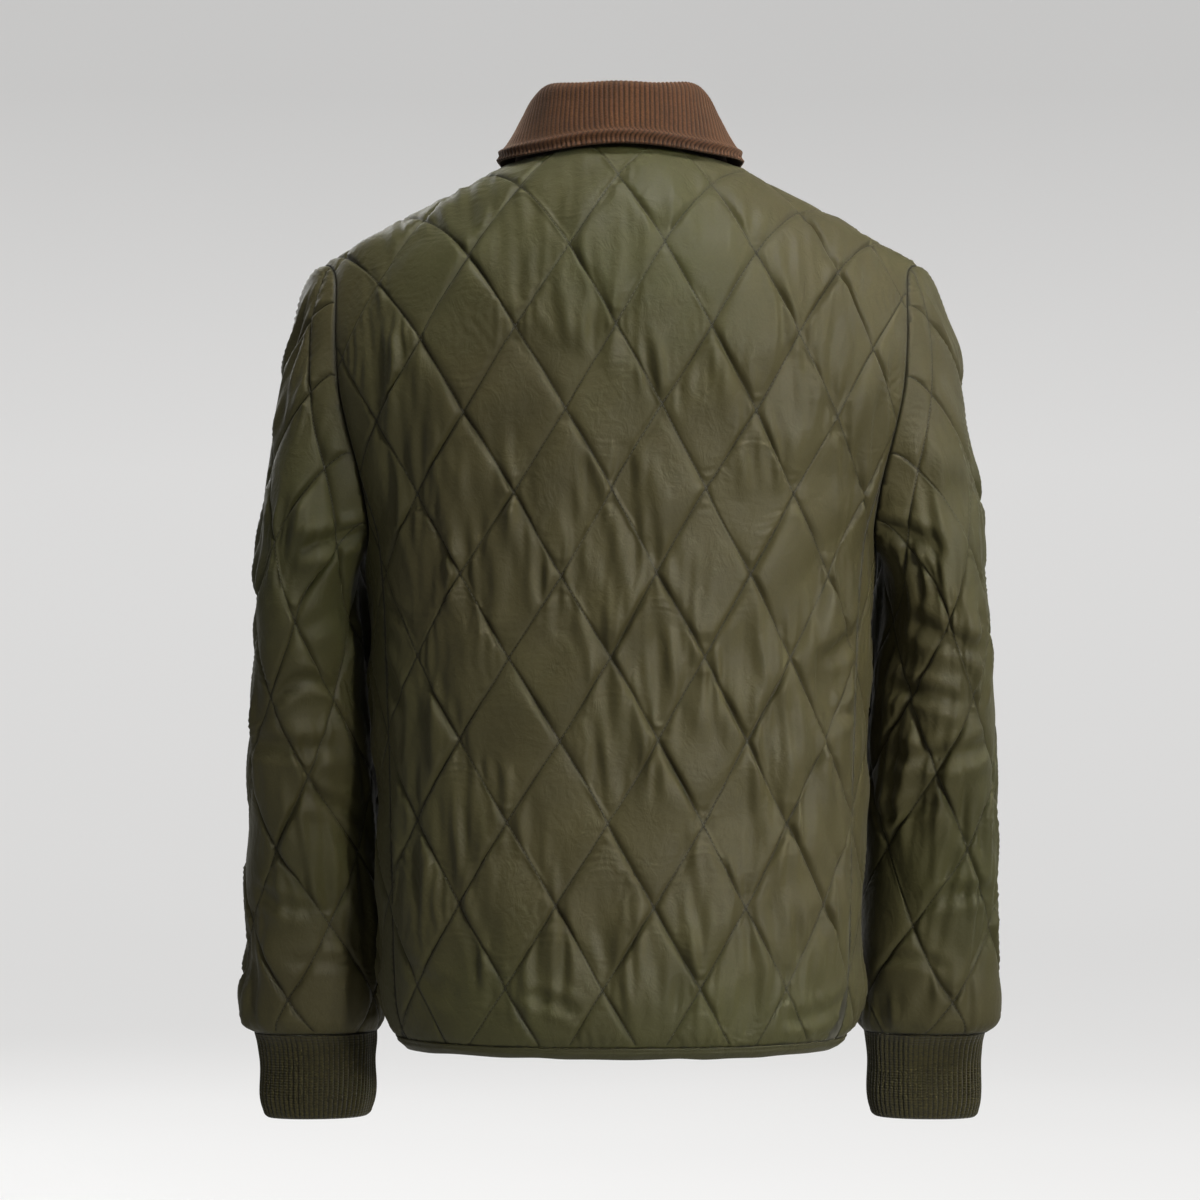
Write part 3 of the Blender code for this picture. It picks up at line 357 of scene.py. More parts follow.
# ---- the body's surface ----
def girth_table():
    """Distance round the body against angle, at chest height, from the centre back."""
    angle = np.linspace(0.0, math.pi, 721)
    _, half, back, front = next(row for row in BODY_SECTIONS if row[0] == GIRTH_HEIGHT)
    x = half * signed_power(np.sin(angle), 2 / ROUNDNESS)
    deep = signed_power(np.cos(angle), 2 / ROUNDNESS)
    y = deep * np.where(deep > 0, back, front)
    return angle, running(np.hypot(np.diff(x), np.diff(y)))


def roll_table():
    """Distance along the shoulder roll against its angle, for a roll one unit high."""
    angle = np.linspace(0.0, math.pi / 2, 181)
    speed = np.hypot(np.cos(angle), ROLL_ASPECT * np.sin(angle))
    return angle, running((speed[1:] + speed[:-1]) / 2 * np.diff(angle))


GIRTH_ANGLE, GIRTH = girth_table()
HALF_GIRTH = GIRTH[-1]
ROLL_ANGLE, ROLL_RUN = roll_table()


def crest(x):
    return CREST_TOP - CREST_SLOPE * (np.sqrt(x * x + CREST_ROUND ** 2) - CREST_ROUND)


def half_width(z):
    return smooth_table(BODY_SECTIONS, 1, z)


def half_depth(z, behind):
    return np.where(behind, smooth_table(BODY_SECTIONS, 2, z), smooth_table(BODY_SECTIONS, 3, z))


def body_point(u, v):
    """The outside of the body cloth at its stitch lines."""
    u, v = np.asarray(u, float), np.asarray(v, float)
    angle = np.interp(np.abs(u), GIRTH, GIRTH_ANGLE)
    across = signed_power(np.sin(angle), 2 / ROUNDNESS)
    deep = signed_power(np.cos(angle), 2 / ROUNDNESS)
    z = v
    for _ in range(5):
        x = half_width(z) * across
        start = crest(x) - SHOULDER_ROLL
        turn = np.interp(np.maximum(v - start, 0.0) / SHOULDER_ROLL, ROLL_RUN, ROLL_ANGLE)
        z = np.where(v > start, start + SHOULDER_ROLL * np.sin(turn), v)
    return np.stack([np.sign(u) * x, half_depth(z, deep > 0) * deep * np.cos(turn), z], axis=-1)


def girth_at(share, front):
    """Distance from the centre back where x is that share of the half width."""
    angle = np.arcsin(share ** (ROUNDNESS / 2))
    return np.interp(np.where(front, math.pi - angle, angle), GIRTH_ANGLE, GIRTH)


def body_pattern(x, z, front):
    """The pattern place of the point at x and z on the left half of the back or front."""
    start = crest(x) - SHOULDER_ROLL
    turn = np.arcsin(np.clip((z - start) / SHOULDER_ROLL, 0, 1))
    v = np.where(z > start, start + SHOULDER_ROLL * np.interp(turn, ROLL_ANGLE, ROLL_RUN), z)
    return np.stack([girth_at(np.clip(x / half_width(z), 0, 1), front), v], axis=-1)


def body_x_at(y, z):
    """Half width of the body where its surface has the given depth at the given height."""
    low, high = np.zeros_like(y), half_width(z)
    for _ in range(40):
        x = (low + high) / 2
        lift = np.clip((z - crest(x)) / SHOULDER_ROLL + 1, 0, 1)
        full = np.clip(1 - (x / half_width(z)) ** ROUNDNESS, 0, 1)
        reach = half_depth(z, y > 0) * full ** (1 / ROUNDNESS) * np.sqrt(1 - lift ** 2)
        outside = (reach < np.abs(y)) | (z > crest(x))
        high, low = np.where(outside, x, high), np.where(outside, low, x)
    return (low + high) / 2


def surface_skin(at, step, turn, u, v):
    """Points, outward normals and the two pattern directions of a surface."""
    across = (at(u + step, v) - at(u - step, v)) / (2 * step)
    along = (at(u, v + step) - at(u, v - step)) / (2 * step)
    return at(u, v), turn * unit(np.cross(along, across)), across, along


def body_skin(u, v):
    return surface_skin(body_point, 0.0006, 1, u, v)


def body_cloth(places):
    """Points and outward normals of the body at pattern places."""
    return body_skin(*places.T)[:2]


# ---- seams of the body, as pattern points on the left half ----
def armhole_places(turn):
    """Points of the armhole; turn 0 is the shoulder and a quarter turn the back."""
    middle = (ARMHOLE_TOP + UNDERARM) / 2
    z = middle + (ARMHOLE_TOP - UNDERARM) / 2 * np.cos(turn)
    y = ARMHOLE_MIDDLE_Y * (1 - np.cos(turn)) / 2
    y = y + ARMHOLE_REACH * signed_power(np.sin(turn), ARMHOLE_SQUARE)
    y = np.where(np.abs(y) < 1e-5, 1e-5, y)
    return body_pattern(body_x_at(y, z), z, y < 0)


def side_seam_turn():
    """Where the side seam meets the armhole."""
    turns = np.linspace(math.pi / 2, math.pi, 400)
    return np.interp(SIDE_SEAM, armhole_places(turns)[:, 0], turns)


SIDE_SEAM = np.interp(SIDE_SEAM_ANGLE, GIRTH_ANGLE, GIRTH)
SIDE_SEAM_TURN = side_seam_turn()
BACK_TURNS = np.linspace(0.0, SIDE_SEAM_TURN, 96)
FRONT_TURNS = join(np.linspace(SIDE_SEAM_TURN, math.pi, 50), np.linspace(math.pi, 2 * math.pi, 140))
UNDERARM_INDEX = 49  # place of the armhole's lowest point in FRONT_TURNS


def shoulder_line(front):
    """From the shoulder point to the side of the neck, along the crest."""
    x = steps_between(body_point(*armhole_places(np.array([0.0]))[0])[0], NECK_HALF_WIDTH)
    return body_pattern(x, crest(x), front)


def neck_places(turn, front):
    """The neck seam, an oval from above; turn 0 is the middle of the back or front."""
    x = NECK_HALF_WIDTH * np.sin(turn)
    reach = np.where(front, NECK_FRONT, NECK_BACK) * np.cos(turn)
    z = crest(x)
    for _ in range(4):
        half = half_width(z)
        full = half_depth(z, np.logical_not(front)) * (1 - (x / half) ** ROUNDNESS) ** (1 / ROUNDNESS)
        lean = np.arccos(np.clip(reach / full, 0, 1))
        z = crest(x) - SHOULDER_ROLL * (1 - np.sin(lean))
    v = crest(x) - SHOULDER_ROLL * (1 - np.interp(lean, ROLL_ANGLE, ROLL_RUN))
    return points(girth_at(x / half, front), v)


def neck_line(front, count=56):
    """From the side of the neck to the middle."""
    return neck_places(np.linspace(math.pi / 2, 0.0, count), front)


def side_line():
    top = armhole_places(np.array([SIDE_SEAM_TURN]))[0, 1]
    return points(SIDE_SEAM, steps_between(PANEL_BOTTOM, top))


def back_outline():
    """Counter-clockwise in the pattern, from the bottom right corner."""
    bottom = points(steps_between(-SIDE_SEAM, SIDE_SEAM), PANEL_BOTTOM)
    half = join(side_line(), armhole_places(BACK_TURNS[::-1]), shoulder_line(False), neck_line(False))
    return join(bottom, half, half[::-1] * (-1, 1))[:-1]


def front_outline():
    """The left front, counter-clockwise in the pattern, from the bottom of the side seam."""
    bottom = points(steps_between(SIDE_SEAM, HALF_GIRTH), PANEL_BOTTOM)
    neck = neck_line(True)
    middle = points(HALF_GIRTH, steps_between(PANEL_BOTTOM, neck[-1, 1]))
    return join(bottom, middle, neck[::-1], shoulder_line(True)[::-1],
                armhole_places(FRONT_TURNS[::-1]), side_line()[::-1])[:-1]


def inset(outline, gap):
    """Move a counter-clockwise outline inwards by the gap."""
    after = unit(left_of(np.roll(outline, -1, axis=0) - outline))
    before = unit(left_of(outline - np.roll(outline, 1, axis=0)))
    bisector = unit(after + before)
    return outline + bisector * gap / np.maximum((bisector * after).sum(-1, keepdims=True), 0.5)


def body_spread(v):
    """Width of the pattern as a share of the body's, so that diamonds keep their size."""
    return half_width(GIRTH_HEIGHT) / half_width(v)


def row_droop(u, v):
    """How much lower the rows hang; nothing at the centre back and at the centre front."""
    inner = np.minimum(np.abs(u), DROOP_TURN)
    outer = np.maximum(np.abs(u) - DROOP_TURN, 0.0)
    rest = HALF_GIRTH - DROOP_TURN
    fall = (DROOP_TURN ** 2 + 2 * DROOP_TURN * rest) / rest ** 2
    share = (inner ** 2 + 2 * DROOP_TURN * outer - fall * outer ** 2) / DROOP_REACH ** 2
    return ROW_DROOP * smoothstep((v - DROOP_START) / DROOP_HEIGHT) * share


def body_lattice(p, q):
    """Pattern place of a point of the body's quilting, from its counts along the two stitch lines."""
    u = QUILT_SHIFT + (p + q) * DIAMOND_WIDTH / 2
    v = BODY_QUILT_ROW + (p - q) * BODY_DIAMOND_HEIGHT / 2
    u = u + QUILT_LEAN * (v - BODY_QUILT_ROW)
    u = u + QUILT_SKEW * u * u / (1 + (u / QUILT_SKEW_REACH) ** 2)
    v = v - row_droop(u, v)
    return u * body_spread(v), v


def sleeve_lattice(p, q):
    u = SLEEVE_QUILT_SHIFT + (p + q) * SLEEVE_DIAMOND_WIDTH / 2
    return u, SLEEVE_QUILT_ROW + (p - q) * SLEEVE_DIAMOND_HEIGHT / 2


# ---- the sleeves' surface ----
def oval(turn, half_x, half_y):
    """A leaning oval about the sleeve's middle line."""
    power = 2 / SLEEVE_ROUNDNESS
    y = half_y * signed_power(np.sin(turn), power)
    return half_x * signed_power(np.cos(turn), power) + SLEEVE_SKEW * y, y


def level_ring(turn, z, outer, inner, middle, deep, bulge=0.0):
    """A level ring of the left arm; turn 0 is its outer side and a quarter turn its back."""
    x, y = oval(turn, (outer - inner) / 2 + bulge, deep + bulge)
    return np.stack([(outer + inner) / 2 + x, middle + y, z + 0 * x], axis=-1)


def sleeve_ring(turn, z):
    return level_ring(turn, z, *(smooth_table(SLEEVE_RINGS, column, z) for column in (1, 2, 3, 4)))


def armhole_frame():
    """Around the armhole: turn, edge points and the direction in which the sleeve leaves."""
    turn = np.linspace(0.0, 2 * math.pi, 721)
    skin, out = body_cloth(armhole_places(turn))
    ahead = np.roll(skin[:-1], -1, axis=0) - np.roll(skin[:-1], 1, axis=0)
    ahead = unit(np.concatenate([ahead, ahead[:1]]))
    opening = unit(np.cross(ahead, out))
    lift = three_term(CAP_DIRECTION, turn)[:, None]
    leave = unit(np.cos(lift) * opening + np.sin(lift) * out)
    return turn, skin + leave * ARMHOLE_GAP, leave


ARM_TURN, ARM_EDGE, ARM_LEAVE = armhole_frame()
SLEEVE_END = SLEEVE_RINGS[0][0]
SLEEVE_STRAIGHT = SLEEVE_TOP_RING - SLEEVE_END


def cap_curves():
    """Points down the sleeve cap from each armhole sample to the first level ring."""
    turn = ARM_TURN
    end = sleeve_ring(turn, np.full_like(turn, SLEEVE_TOP_RING))
    leave = ARM_LEAVE * three_term(CAP_LEAVING, turn)[:, None]
    arrive = np.array((0.0, 0.0, -1.0)) * three_term(CAP_ARRIVING, turn)[:, None]
    t = np.linspace(0.0, 1.0, CAP_SAMPLES)[None, :, None]
    curve = ((1 + 2 * t) * (1 - t) ** 2 * ARM_EDGE[:, None] + t * (1 - t) ** 2 * leave[:, None]
             + t * t * (3 - 2 * t) * end[:, None] + t * t * (t - 1) * arrive[:, None])
    run = np.linalg.norm(np.diff(curve, axis=1), axis=-1).cumsum(axis=1)
    return curve, np.concatenate([np.zeros((len(run), 1)), run], axis=1)


CAP_CURVE, CAP_RUN = cap_curves()


def cap_length(turn):
    return np.interp(np.mod(turn, 2 * math.pi), ARM_TURN, CAP_RUN[:, -1])


def cap_column(column, v):
    """Points on given cap curves, at pattern lengths above the cuff seam."""
    run = CAP_RUN[column]
    down = np.clip(run[:, -1] - (v - SLEEVE_STRAIGHT), 0.0, run[:, -1])
    index = np.clip((run < down[:, None]).sum(axis=1), 1, CAP_SAMPLES - 1)
    rows = np.arange(len(column))
    before, after = run[rows, index - 1], run[rows, index]
    share = ((down - before) / (after - before))[:, None]
    return CAP_CURVE[column, index - 1] * (1 - share) + CAP_CURVE[column, index] * share


def sleeve_width(v):
    """Full width of the flat sleeve at a length above the cuff seam."""
    return SLEEVE_WRIST + (SLEEVE_BICEPS - SLEEVE_WRIST) * smoothstep(v / SLEEVE_STRAIGHT)


def sleeve_point(u, v):
    """The left sleeve's surface at its stitch lines; v runs up from the cuff seam."""
    turn = 2 * math.pi * u / sleeve_width(v)
    place = np.mod(turn, 2 * math.pi) / (2 * math.pi) * (len(ARM_TURN) - 1)
    column = np.minimum(place.astype(int), len(ARM_TURN) - 2)
    share = (place - column)[:, None]
    cap = cap_column(column, v) * (1 - share) + cap_column(column + 1, v) * share
    ring = sleeve_ring(turn, np.minimum(SLEEVE_END + v, SLEEVE_TOP_RING))
    return np.where((v > SLEEVE_STRAIGHT)[:, None], cap, ring)


def sleeve_skin(u, v):
    return surface_skin(sleeve_point, 0.0008, -1, u, v)


def sleeve_outline():
    """Counter-clockwise from the bottom of one side of the underarm seam, and that seam's points."""
    bottom = points(steps_between(-SLEEVE_WRIST / 2, SLEEVE_WRIST / 2), 0.0)
    edge_v = steps_between(0.0, SLEEVE_STRAIGHT + cap_length(np.array([math.pi]))[0])
    edge = points(sleeve_width(edge_v) / 2, edge_v)
    turns = np.concatenate([FRONT_TURNS[UNDERARM_INDEX::-1], BACK_TURNS[-2::-1],
                            FRONT_TURNS[-2:UNDERARM_INDEX - 1:-1] - 2 * math.pi])
    cap_v = SLEEVE_STRAIGHT + cap_length(turns)
    cap = points(turns / (2 * math.pi) * sleeve_width(cap_v), cap_v)
    outline = join(bottom, edge, cap, edge[::-1] * (-1, 1))[:-1]
    right = range(len(bottom) - 1, len(bottom) + len(edge) - 2)
    left = range(len(outline) - len(edge) + 1, len(outline))
    return outline, {*right, *left}


# ---- flat simulation of the quilting ----
def soft_field(rng, x, y):
    """A smooth random field, about -1 to 1, at places counted in the field's own cells."""
    x, y = np.broadcast_arrays(np.asarray(x, float), np.asarray(y, float))
    i, j = np.floor(x).astype(int), np.floor(y).astype(int)

    def weights(f):
        return ((1 - f) ** 3 / 6, (3 * f ** 3 - 6 * f ** 2 + 4) / 6,
                (-3 * f ** 3 + 3 * f ** 2 + 3 * f + 1) / 6, f ** 3 / 6)
    across, along = weights(x - i), weights(y - j)
    i, j = i - i.min(), j - j.min()
    coarse = rng.standard_normal((i.max() + 4, j.max() + 4))
    field = np.zeros(x.shape)
    for a in range(4):
        for b in range(4):
            field += across[a] * along[b] * coarse[i + a, j + b]
    return field * 1.6


def soft_noise(rng, shape, cells):
    """A soft field over a grid of points, with so many cells each way."""
    x, y = (np.linspace(0, cells[k], shape[k]) for k in (0, 1))
    return soft_field(rng, x[:, None], y[None])


def neighbour_slices(shape):
    """Slices of both ends of every mesh edge, in groups that share no point."""
    every, (rows, columns) = slice(None), shape

    def ends(first, count, step=2):
        return slice(first, count - 1, step), slice(first + 1, count, step)
    groups = [(ends(first, rows), (every, every)) for first in (0, 1)]
    groups += [((every, every), ends(first, columns)) for first in (0, 1)]
    groups += [(ends(first, rows), ends(0, columns, 1)) for first in (0, 1)]
    return [((every, p[0], q[0]), (every, p[1], q[1])) for p, q in groups]


def relax(flat, held, surplus, loft, rng, steps):
    """Settle cloth that is held at some points, has surplus length and is pushed up to its loft."""
    free = np.where(held, 0.0, 1.0).astype(np.float32)
    x = np.empty((3,) + held.shape, np.float32)
    x[:2] = flat
    x[2] = free * (loft * 0.3 + 0.0004 * rng.standard_normal(held.shape)) - GROOVE * (1 - free)
    edges = []
    for start, end in neighbour_slices(held.shape):
        extra = 1 + (surplus[end] + surplus[start]) / 2
        rest = np.sqrt((((flat[end] - flat[start]) * extra) ** 2).sum(axis=0)).astype(np.float32)
        share = np.maximum(free[start[1:]] + free[end[1:]], 1e-6)
        edges.append((start, end, rest, free[start[1:]] / share, free[end[1:]] / share))
    before = x.copy()
    for step in range(steps):
        speed = (x - before) * (0.93 if step < steps * 0.8 else 0.8)
        before = x.copy()
        x += speed * free
        x[2] += free * PUSH * np.clip(1 - x[2] / loft, -0.5, 1)
        middle = x[:, 1:-1, 1:-1]
        mean = (x[:, 2:, 1:-1] + x[:, :-2, 1:-1] + x[:, 1:-1, 2:] + x[:, 1:-1, :-2]
                + x[:, 2:, 2:] + x[:, :-2, :-2]) / 6
        middle += BEND * (mean - middle) * free[1:-1, 1:-1]
        for start, end, rest, start_share, end_share in edges:
            span = x[end] - x[start]
            length = np.sqrt((span * span).sum(axis=0)) + 1e-9
            span *= (length - rest) / length
            x[start] += span * start_share
            x[end] -= span * end_share
    return x


def near_outline(outline, places):
    """Distance of places from a counter-clockwise outline, negative outside it."""
    ahead = unit(np.roll(outline, -1, axis=0) - outline)
    inward = left_of(ahead + np.roll(ahead, 1, axis=0))
    tree = KDTree(len(outline))
    for index, (u, v) in enumerate(outline):
        tree.insert((u, v, 0.0), index)
    tree.balance()
    nearest = np.array([tree.find((u, v, 0.0))[1] for u, v in places])
    start, end = outline[nearest], outline[(nearest + 1) % len(outline)]
    best = np.full(len(places), np.inf)
    for a, b in ((start, end), (outline[nearest - 1], start)):
        run = b - a
        t = np.clip(((places - a) * run).sum(-1) / (run * run).sum(-1), 0, 1)
        best = np.minimum(best, np.linalg.norm(places - a - t[:, None] * run, axis=-1))
    side = ((places - start) * inward[nearest]).sum(-1)
    return np.where(side > 0, best, -best)


def triangulate(outline, inner, lines=()):
    """Triangles over an outline, with more points and lines inside it, in the order given."""
    everything = [Vector(p) for p in np.concatenate([outline, inner])]
    count = len(outline)
    edges = [(i, (i + 1) % count) for i in range(count)] + list(lines)
    result = delaunay_2d_cdt(everything, edges, [list(range(count))], 1, 1e-8)
    source = [sources[0] if sources else -1 for sources in result[3]]
    faces = [tuple(source[i] for i in face) for face in result[2]]
    return [face for face in faces if min(face) >= 0]


class Panel:
    """A quilted piece as a fine sheet: flat lattice, simulated relief and surface."""

    def __init__(self, name, outline, lattice, skin, seed,
                 side=1, sewn=(), loft_edge=None, spread=np.ones_like):
        self.name, self.outline, self.lattice, self.skin = name, outline, lattice, skin
        self.side, self.sewn, self.spread_at = side, sewn, spread
        self.low, self.high = outline.min(axis=0), outline.max(axis=0)
        self.rng = np.random.default_rng(seed)
        self.lay_lattice()
        self.simulate(loft_edge)

    def noise(self, share=1):
        """A soft field over the lattice, with so many cells to the side of a diamond."""
        return soft_noise(self.rng, self.shape, (self.cells[0] * share, self.cells[1] * share))

    def lay_lattice(self):
        """Lay the lattice over the outline; a coarse one finds how far the counts reach."""
        p, q = np.meshgrid(LATTICE_COUNTS, LATTICE_COUNTS, indexing="ij")
        places = np.stack(self.lattice(p.astype(float), q.astype(float)), axis=-1)
        near = ((places > self.low - LATTICE_MARGIN) & (places < self.high + LATTICE_MARGIN)).all(axis=-1)
        first = p[near].min(), q[near].min()
        self.cells = (p[near].max() - first[0], q[near].max() - first[1])
        self.shape = (self.cells[0] * CELLS + 1, self.cells[1] * CELLS + 1)
        i, j = np.meshgrid(*map(np.arange, self.shape), indexing="ij")
        self.held = (i % CELLS == 0) | (j % CELLS == 0)
        self.counts = i / CELLS, j / CELLS
        wander = [self.noise() * LATTICE_WANDER + self.noise(3) * LATTICE_JITTER for _ in range(2)]
        crowded = (start + (t - LINE_CROWDING / (2 * math.pi) * np.sin(2 * math.pi * t))
                   for start, t in zip(first, self.counts))
        self.flat = np.stack([place + shift for place, shift in zip(self.lattice(*crowded), wander)])
        self.inside = near_outline(self.outline, self.flat.reshape(2, -1).T).reshape(self.shape)

    def simulate(self, loft_edge):
        """Raise each diamond; its fill and its surplus cloth vary from one to the next."""
        def patchy(low, high):
            patch = self.rng.uniform(low, high, self.cells)
            return np.pad(np.kron(patch, np.ones((CELLS, CELLS))), ((0, 1), (0, 1)), mode="edge")
        loft = PUFF * patchy(*FILL) * (1 + 0.1 * self.noise())
        loft = loft * (0.12 + 0.88 * smoothstep(self.inside / SEAM_FADE))
        loft = loft * (0.5 + 0.5 * smoothstep(self.inside / CALM_EDGE))
        if loft_edge is not None:
            loft = loft * (0.1 + 0.9 * smoothstep((loft_edge - np.abs(self.flat[0])) / SEAM_FADE))
        surplus = [patchy(*span) * (1 + 0.6 * self.noise(3)) for span in (SURPLUS_ACROSS, SURPLUS_ALONG)]
        held = self.held | (self.inside < EDGE_CLEAR)
        true = self.flat.astype(np.float32)
        true[0] /= self.spread_at(self.flat[1])
        self.relief = relax(true, held, np.stack(surplus).astype(np.float32), loft.astype(np.float32),
                            self.rng, CLOTH_STEPS)
        self.relief[:2] -= true
        self.relief[2] = np.maximum(self.relief[2] + self.creases(), -DEEPEST)

    def creases(self):
        """Soft upright folds, and puckers round each crossing, as heights over the cloth."""
        u, v = self.flat[0] / self.spread_at(self.flat[1]), self.flat[1]
        field = {name: soft_field(self.rng, u / wide + v / lean, v / high)
                 for name, (wide, lean, high) in CREASE_FIELDS.items()}
        off_p, off_q = (count - np.round(count) for count in self.counts)
        clear = smoothstep(np.minimum(np.abs(off_p), np.abs(off_q)) * 9) * smoothstep(self.inside / SEAM_FADE)
        folds = smoothstep(0.5 + 0.9 * field["where"])
        folds = folds * (0.3 * field["fine"] + 0.8 * field["broad"]) * FOLD_HEIGHT
        if not self.name.startswith("sleeve"):
            folds = folds * (1 - 0.65 * smoothstep((v - CALM_NECK) / 0.08))
        across = (off_p + off_q) * DIAMOND_WIDTH / 2 / PUCKER_SPREAD[0]
        along = (np.abs(off_p - off_q) * BODY_DIAMOND_HEIGHT / 2 - PUCKER_PLACE) / PUCKER_SPREAD[1]
        near = np.exp(-across ** 2 - along ** 2) * smoothstep(0.6 + 0.9 * field["pucker"])
        small = clear * (folds + field["swell"] * SWELL_HEIGHT + near * field["level"] * PUCKER_HEIGHT)
        calm = 0.4 + 0.6 * smoothstep(self.inside / CALM_EDGE)
        return small * calm + (0.3 + 0.7 * clear) * self.hand_folds()

    def hand_folds(self):
        """The larger listed folds, each shifted a little from one piece to the next."""
        kind = self.name.split("_")[0]
        u, v = self.flat
        u = {"back": u, "front": np.abs(u), "sleeve": u * self.side}[kind]
        total = np.zeros(u.shape)
        for start_u, start_v, end_u, end_v, width, depth in HAND_FOLDS[kind]:
            shift = self.rng.normal(0, HAND_SHIFT, 4)
            start_u, start_v = start_u + shift[0], start_v + shift[1]
            run_u, run_v = end_u + shift[2] - start_u, end_v + shift[3] - start_v
            length = math.hypot(run_u, run_v)
            t = ((u - start_u) * run_u + (v - start_v) * run_v) / length ** 2
            off = ((u - start_u) * run_v - (v - start_v) * run_u) / length
            off = off + 0.08 * length * self.rng.normal() * np.sin(math.pi * np.clip(t, 0, 1))
            ends = smoothstep(t * 4) * smoothstep((1 - t) * 4)
            groove = -np.exp(-(off / width) ** 2)
            ridges = 0.6 * np.exp(-((np.abs(off) - 1.8 * width) / width) ** 2)
            total += depth * (1 + 0.3 * self.rng.normal()) * ends * (groove + ridges)
        return total

    def surface(self, places, raised, shift=None):
        """Points at pattern places, raised from the cloth's face and moved by shift in the pattern."""
        u, v = places[:, 0] * self.side, places[:, 1]
        point, out, across, along = self.skin(u, v)
        if shift is not None:
            wide = shift[:, :1] * self.spread_at(v)[:, None] * self.side
            point = point + across * wide + along * shift[:, 1:]
        return (point + out * np.reshape(raised, (-1, 1))) * (self.side, 1.0, 1.0)

    def shell(self, material):
        """The finished piece: fine outer cloth, a plain inside and rims."""
        count = len(self.outline)
        whole = self.inside > EDGE_CLEAR * 1.6
        cell = whole[:-1, :-1] & whole[1:, :-1] & whole[:-1, 1:] & whole[1:, 1:]
        used = np.zeros(self.shape, bool)
        for a, b in ((0, 0), (1, 0), (0, 1), (1, 1)):
            used[a:self.shape[0] - 1 + a, b:self.shape[1] - 1 + b] |= cell
        index = -np.ones(self.shape, int)
        index[used] = count + np.arange(used.sum())
        corners = index[:-1, :-1], index[1:, :-1], index[1:, 1:], index[:-1, 1:]
        outer_faces = halves(np.stack([corner[cell] for corner in corners], axis=1))
        moved = self.relief[:, used].T
        outer = np.concatenate([self.surface(self.outline, -SEAM_SINK),
                                self.surface(self.flat[:, used].T, moved[:, 2], moved[:, :2])])
        plain = self.plain_points()
        inner = self.surface(np.concatenate([self.outline, plain]), -WALL)
        base = len(outer)
        inner_faces = base + np.array(triangulate(self.outline, plain))[:, ::-1]
        i = np.array([k for k in range(count) if k not in self.sewn])
        j = (i + 1) % count
        rims = halves(np.stack([i, base + i, base + j, j], axis=1))
        # Painted shade: the seams and the stitch lines are marked here, and the nylon is painted darker along
        # them, as shade in their grooves.
        seam = np.zeros(base + len(inner))
        seam[:count] = 1.0
        seam[count:base] = self.held[used]
        return mesh_piece(self.name + "_quilted", np.concatenate([outer, inner]),
                          np.concatenate([outer_faces, self.border(cell, index), inner_faces, rims]),
                          material, weld=bool(self.sewn), outward=True, mark=seam)

    def border(self, cell, index):
        """Triangles between the outline and the whole lattice cells."""
        padded = np.pad(cell, 1)
        sides = []
        for di, dj, first, second in ((-1, 0, (0, 0), (0, 1)), (1, 0, (1, 0), (1, 1)),
                                      (0, -1, (0, 0), (1, 0)), (0, 1, (0, 1), (1, 1))):
            beyond = padded[1 + di:padded.shape[0] - 1 + di, 1 + dj:padded.shape[1] - 1 + dj]
            i, j = np.nonzero(cell & ~beyond)
            sides.append(np.stack([i + first[0], j + first[1], i + second[0], j + second[1]], axis=1))
        sides = np.concatenate(sides)
        nodes, back = np.unique(np.concatenate([sides[:, :2], sides[:, 2:]]), axis=0, return_inverse=True)
        count = len(self.outline)
        lines = [(count + a, count + b) for a, b in back.reshape(2, -1).T]
        faces = []
        for face in triangulate(self.outline, self.flat[:, nodes[:, 0], nodes[:, 1]].T, lines):
            if min(face) >= count:
                middle = nodes[[k - count for k in face]].mean(axis=0).astype(int)
                if cell[min(middle[0], cell.shape[0] - 1), min(middle[1], cell.shape[1] - 1)]:
                    continue
            faces.append([k if k < count else index[tuple(nodes[k - count])] for k in face])
        return np.array(faces)

    def plain_points(self):
        """Wide-set points for the plain inside."""
        rows = np.arange(self.low[1], self.high[1], LINING_STEP * 0.87)
        found = np.array([(u + (k % 2) * LINING_STEP / 2, v) for k, v in enumerate(rows)
                          for u in np.arange(self.low[0], self.high[0], LINING_STEP)])
        return found[near_outline(self.outline, found) > LINING_STEP * 0.4]

    def stitch_runs(self):
        """Pattern places along each stitch line, cut off where it comes near to a seam."""
        for axis in (0, 1):
            for k in range(self.cells[axis] + 1):
                line = (slice(None),) * (axis + 1) + (k * CELLS,)
                keep = self.inside[line[1:]] > STITCH_CLEAR
                edges = np.flatnonzero(np.diff(np.pad(keep.astype(int), 1)))
                for first, last in zip(edges[::2], edges[1::2]):
                    if last - first > 2:
                        yield self.flat[line].T[first:last]

    def stitches(self, material):
        """Thread along every stitch line, one short stitch after another."""
        starts, ends = [], []
        for run in self.stitch_runs():
            length = running(np.linalg.norm(np.diff(run, axis=0), axis=1))
            at = np.arange(STITCH_PITCH / 2, length[-1] - STITCH_LENGTH, STITCH_PITCH)
            for shift, found in ((0.0, starts), (STITCH_LENGTH, ends)):
                found.append(np.stack([np.interp(at + shift, length, run[:, n]) for n in (0, 1)], axis=1))
        starts, ends = np.concatenate(starts), np.concatenate(ends)
        high = -GROOVE + STITCH_RADIUS * 0.6
        return thread_piece(self.name + "_stitching", self.surface(starts, high),
                            self.surface(ends, high), self.surface(starts, 0.01), material)


